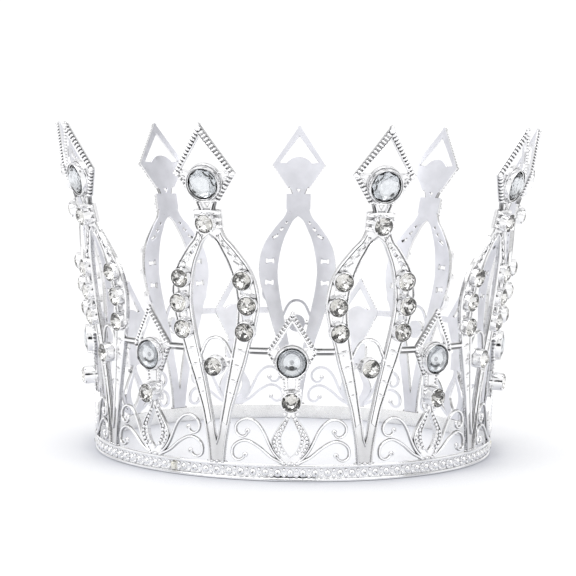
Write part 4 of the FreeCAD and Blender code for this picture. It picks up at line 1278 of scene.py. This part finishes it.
stones("small_crest_stones", "small_crest_gems", [(0, SMALL_CREST_Z, 0)], small_at, lambda: domed_stone(SMALL_GEM_R, 1.5, 1.7, 1.7, 0.64), [GREY, GREYFOIL, GREYFOIL_PAINTED_DARK_REFLECTION, GREYFOIL_PAINTED_MID_REFLECTION], True)

# ---------------------------------------------------------------------------
# floor, light, camera
# ---------------------------------------------------------------------------
fm, nt, bsdf = node_material("floor_paper")
co = nt.nodes.new("ShaderNodeTexCoord")
nz = nt.nodes.new("ShaderNodeTexNoise")
nz.inputs["Scale"].default_value = 3.0
nt.links.new(co.outputs["Object"], nz.inputs["Vector"])
mx = nt.nodes.new("ShaderNodeMix")
mx.data_type = "RGBA"
mx.inputs["A"].default_value = (0.955, 0.955, 0.96, 1)
mx.inputs["B"].default_value = (0.97, 0.97, 0.975, 1)
nt.links.new(nz.outputs["Fac"], mx.inputs["Factor"])
# near the crown the floor turns lavender-grey by AO: painted shade
fao = nt.nodes.new("ShaderNodeAmbientOcclusion")
fao.inputs["Distance"].default_value = 0.10
fao.samples = 12
fr = nt.nodes.new("ShaderNodeMapRange")
fr.inputs["From Min"].default_value = 0.46
fr.inputs["From Max"].default_value = 0.97
nt.links.new(fao.outputs["AO"], fr.inputs["Value"])
fx = nt.nodes.new("ShaderNodeMix")
fx.data_type = "RGBA"
fx.inputs["A"].default_value = (0.66, 0.672, 0.725, 1)
nt.links.new(fr.outputs["Result"], fx.inputs["Factor"])
nt.links.new(mx.outputs["Result"], fx.inputs["B"])
nt.links.new(fx.outputs["Result"], bsdf.inputs["Base Color"])
bsdf.inputs["Roughness"].default_value = 0.7
fme = bpy.data.meshes.new("floor_mesh")
seg, rad = 64, 4.0
fv = [(0, 0, -0.00004)] + [(rad * math.cos(math.tau * i / seg), rad * math.sin(math.tau * i / seg), -0.00004) for i in range(seg)]
fme.from_pydata(fv, [], [(0, 1 + i, 1 + (i + 1) % seg) for i in range(seg)])
floor = bpy.data.objects.new("floor", fme)
fme.materials.append(fm)
scene.collection.objects.link(floor)

# a white tent with a few darker gaps; straight views see it as plain white
world = bpy.data.worlds.new("studio")
scene.world = world
world.use_nodes = True
nt = world.node_tree
nt.nodes.clear()
new, link = nt.nodes.new, nt.links.new
out = new("ShaderNodeOutputWorld")
co = new("ShaderNodeTexCoord")


def patch(direction, inner_deg, outer_deg):
    """1 inside a cone about a direction, 0 outside."""
    d = Vector(direction).normalized()
    dot = new("ShaderNodeVectorMath")
    dot.operation = "DOT_PRODUCT"
    dot.inputs[1].default_value = d
    link(co.outputs["Generated"], dot.inputs[0])
    r = new("ShaderNodeMapRange")
    r.inputs["From Min"].default_value = math.cos(math.radians(outer_deg))
    r.inputs["From Max"].default_value = math.cos(math.radians(inner_deg))
    link(dot.outputs["Value"], r.inputs["Value"])
    return r.outputs["Result"]


def direction(az, el):
    """Azimuth from the front (-Y) towards +X, elevation above the horizon."""
    a, e = math.radians(az), math.radians(el)
    return (math.sin(a) * math.cos(e), -math.cos(a) * math.cos(e), math.sin(e))


dark = None
for az, el, i, o, k in (
    (0, 7, 12, 16, 1.0), (-128, 5, 9, 16, 0.3), (128, 5, 9, 16, 0.35), (-120, 36, 5, 13, 0.8), (120, 36, 5, 13, 0.8),
    (-68, 12, 5, 14, 0.5), (74, 8, 5, 14, 0.5), (26, 52, 5, 12, 0.8), (-34, 40, 4, 10, 0.8), (176, 58, 4, 12, 0.5),
    (-160, 24, 5, 10, 0.3), (156, 30, 5, 10, 0.35), (84, 34, 8, 20, 0.6), (-84, 34, 8, 20, 0.2),
):
    p = patch(direction(az, el), i, o)
    s = new("ShaderNodeMath")
    s.operation = "MULTIPLY"
    s.inputs[1].default_value = k
    link(p, s.inputs[0])
    if dark is None:
        dark = s.outputs[0]
    else:
        a = new("ShaderNodeMath")
        a.operation = "MAXIMUM"
        link(dark, a.inputs[0])
        link(s.outputs[0], a.inputs[1])
        dark = a.outputs[0]
mix = new("ShaderNodeMix")
mix.data_type = "RGBA"
mix.inputs["A"].default_value = (1.0, 1.0, 1.0, 1)
mix.inputs["B"].default_value = (0.012, 0.012, 0.014, 1)
link(dark, mix.inputs["Factor"])
tent = new("ShaderNodeBackground")
tent.inputs["Strength"].default_value = 1.02
link(mix.outputs["Result"], tent.inputs["Color"])
plain = new("ShaderNodeBackground")
plain.inputs["Color"].default_value = (1, 1, 1, 1)
plain.inputs["Strength"].default_value = 1.1
path = new("ShaderNodeLightPath")
ms = new("ShaderNodeMixShader")
link(path.outputs["Is Camera Ray"], ms.inputs["Fac"])
link(tent.outputs["Background"], ms.inputs[1])
link(plain.outputs["Background"], ms.inputs[2])
link(ms.outputs["Shader"], out.inputs["Surface"])


def area_light(name, at, to, size, power):
    l = bpy.data.lights.new(name, "AREA")
    l.shape = "RECTANGLE"
    l.size, l.size_y = size
    l.energy = power
    o = bpy.data.objects.new(name, l)
    o.location = at
    o.rotation_euler = (Vector(to) - Vector(at)).to_track_quat("-Z", "Y").to_euler()
    scene.collection.objects.link(o)
    return o


sun = bpy.data.lights.new("soft_top", "SUN")
sun.energy = 0.84
sun.angle = math.radians(50)
sun_o = bpy.data.objects.new("soft_top", sun)
sun_o.rotation_euler = (math.radians(12), math.radians(-6), 0)
scene.collection.objects.link(sun_o)
area_light("soft_left", (-0.9, -0.7, 0.8), (0, 0, 0.05), (0.7, 0.7), 2.0)
area_light("soft_right", (0.9, -0.6, 0.9), (0, 0, 0.05), (0.6, 0.6), 1.6)

CAM_D, CAM_Z, YAW, PITCH, ROLL, FOCAL, TURN = (
    0.674925, 0.111787, -0.0038, 0.0816, 0.0151, 1910.30, 0.0098,
)
f = Vector((math.sin(YAW) * math.cos(PITCH), math.cos(YAW) * math.cos(PITCH), -math.sin(PITCH)))
right = Vector((math.cos(YAW), -math.sin(YAW), 0))
up = right.cross(f)
rx = math.cos(ROLL) * right + math.sin(ROLL) * up
uy = -math.sin(ROLL) * right + math.cos(ROLL) * up
spin = Matrix.Rotation(TURN, 3, "Z")
f, rx, uy, at = spin @ f, spin @ rx, spin @ uy, spin @ Vector((0, -CAM_D, CAM_Z))
cam = bpy.data.cameras.new("camera")
cam.sensor_width = 36.0
cam.lens = FOCAL / 576.0 * 36.0
cam.clip_start = 0.01
cam_o = bpy.data.objects.new("camera", cam)
scene.collection.objects.link(cam_o)
m = Matrix.Identity(4)
for i in range(3):
    m[i][0], m[i][1], m[i][2], m[i][3] = rx[i], uy[i], -f[i], at[i]
cam_o.matrix_world = m
scene.camera = cam_o

scene.view_settings.view_transform = "Standard"
scene.view_settings.look = "None"
scene.view_settings.exposure = 0.0
scene.view_settings.gamma = 1.0
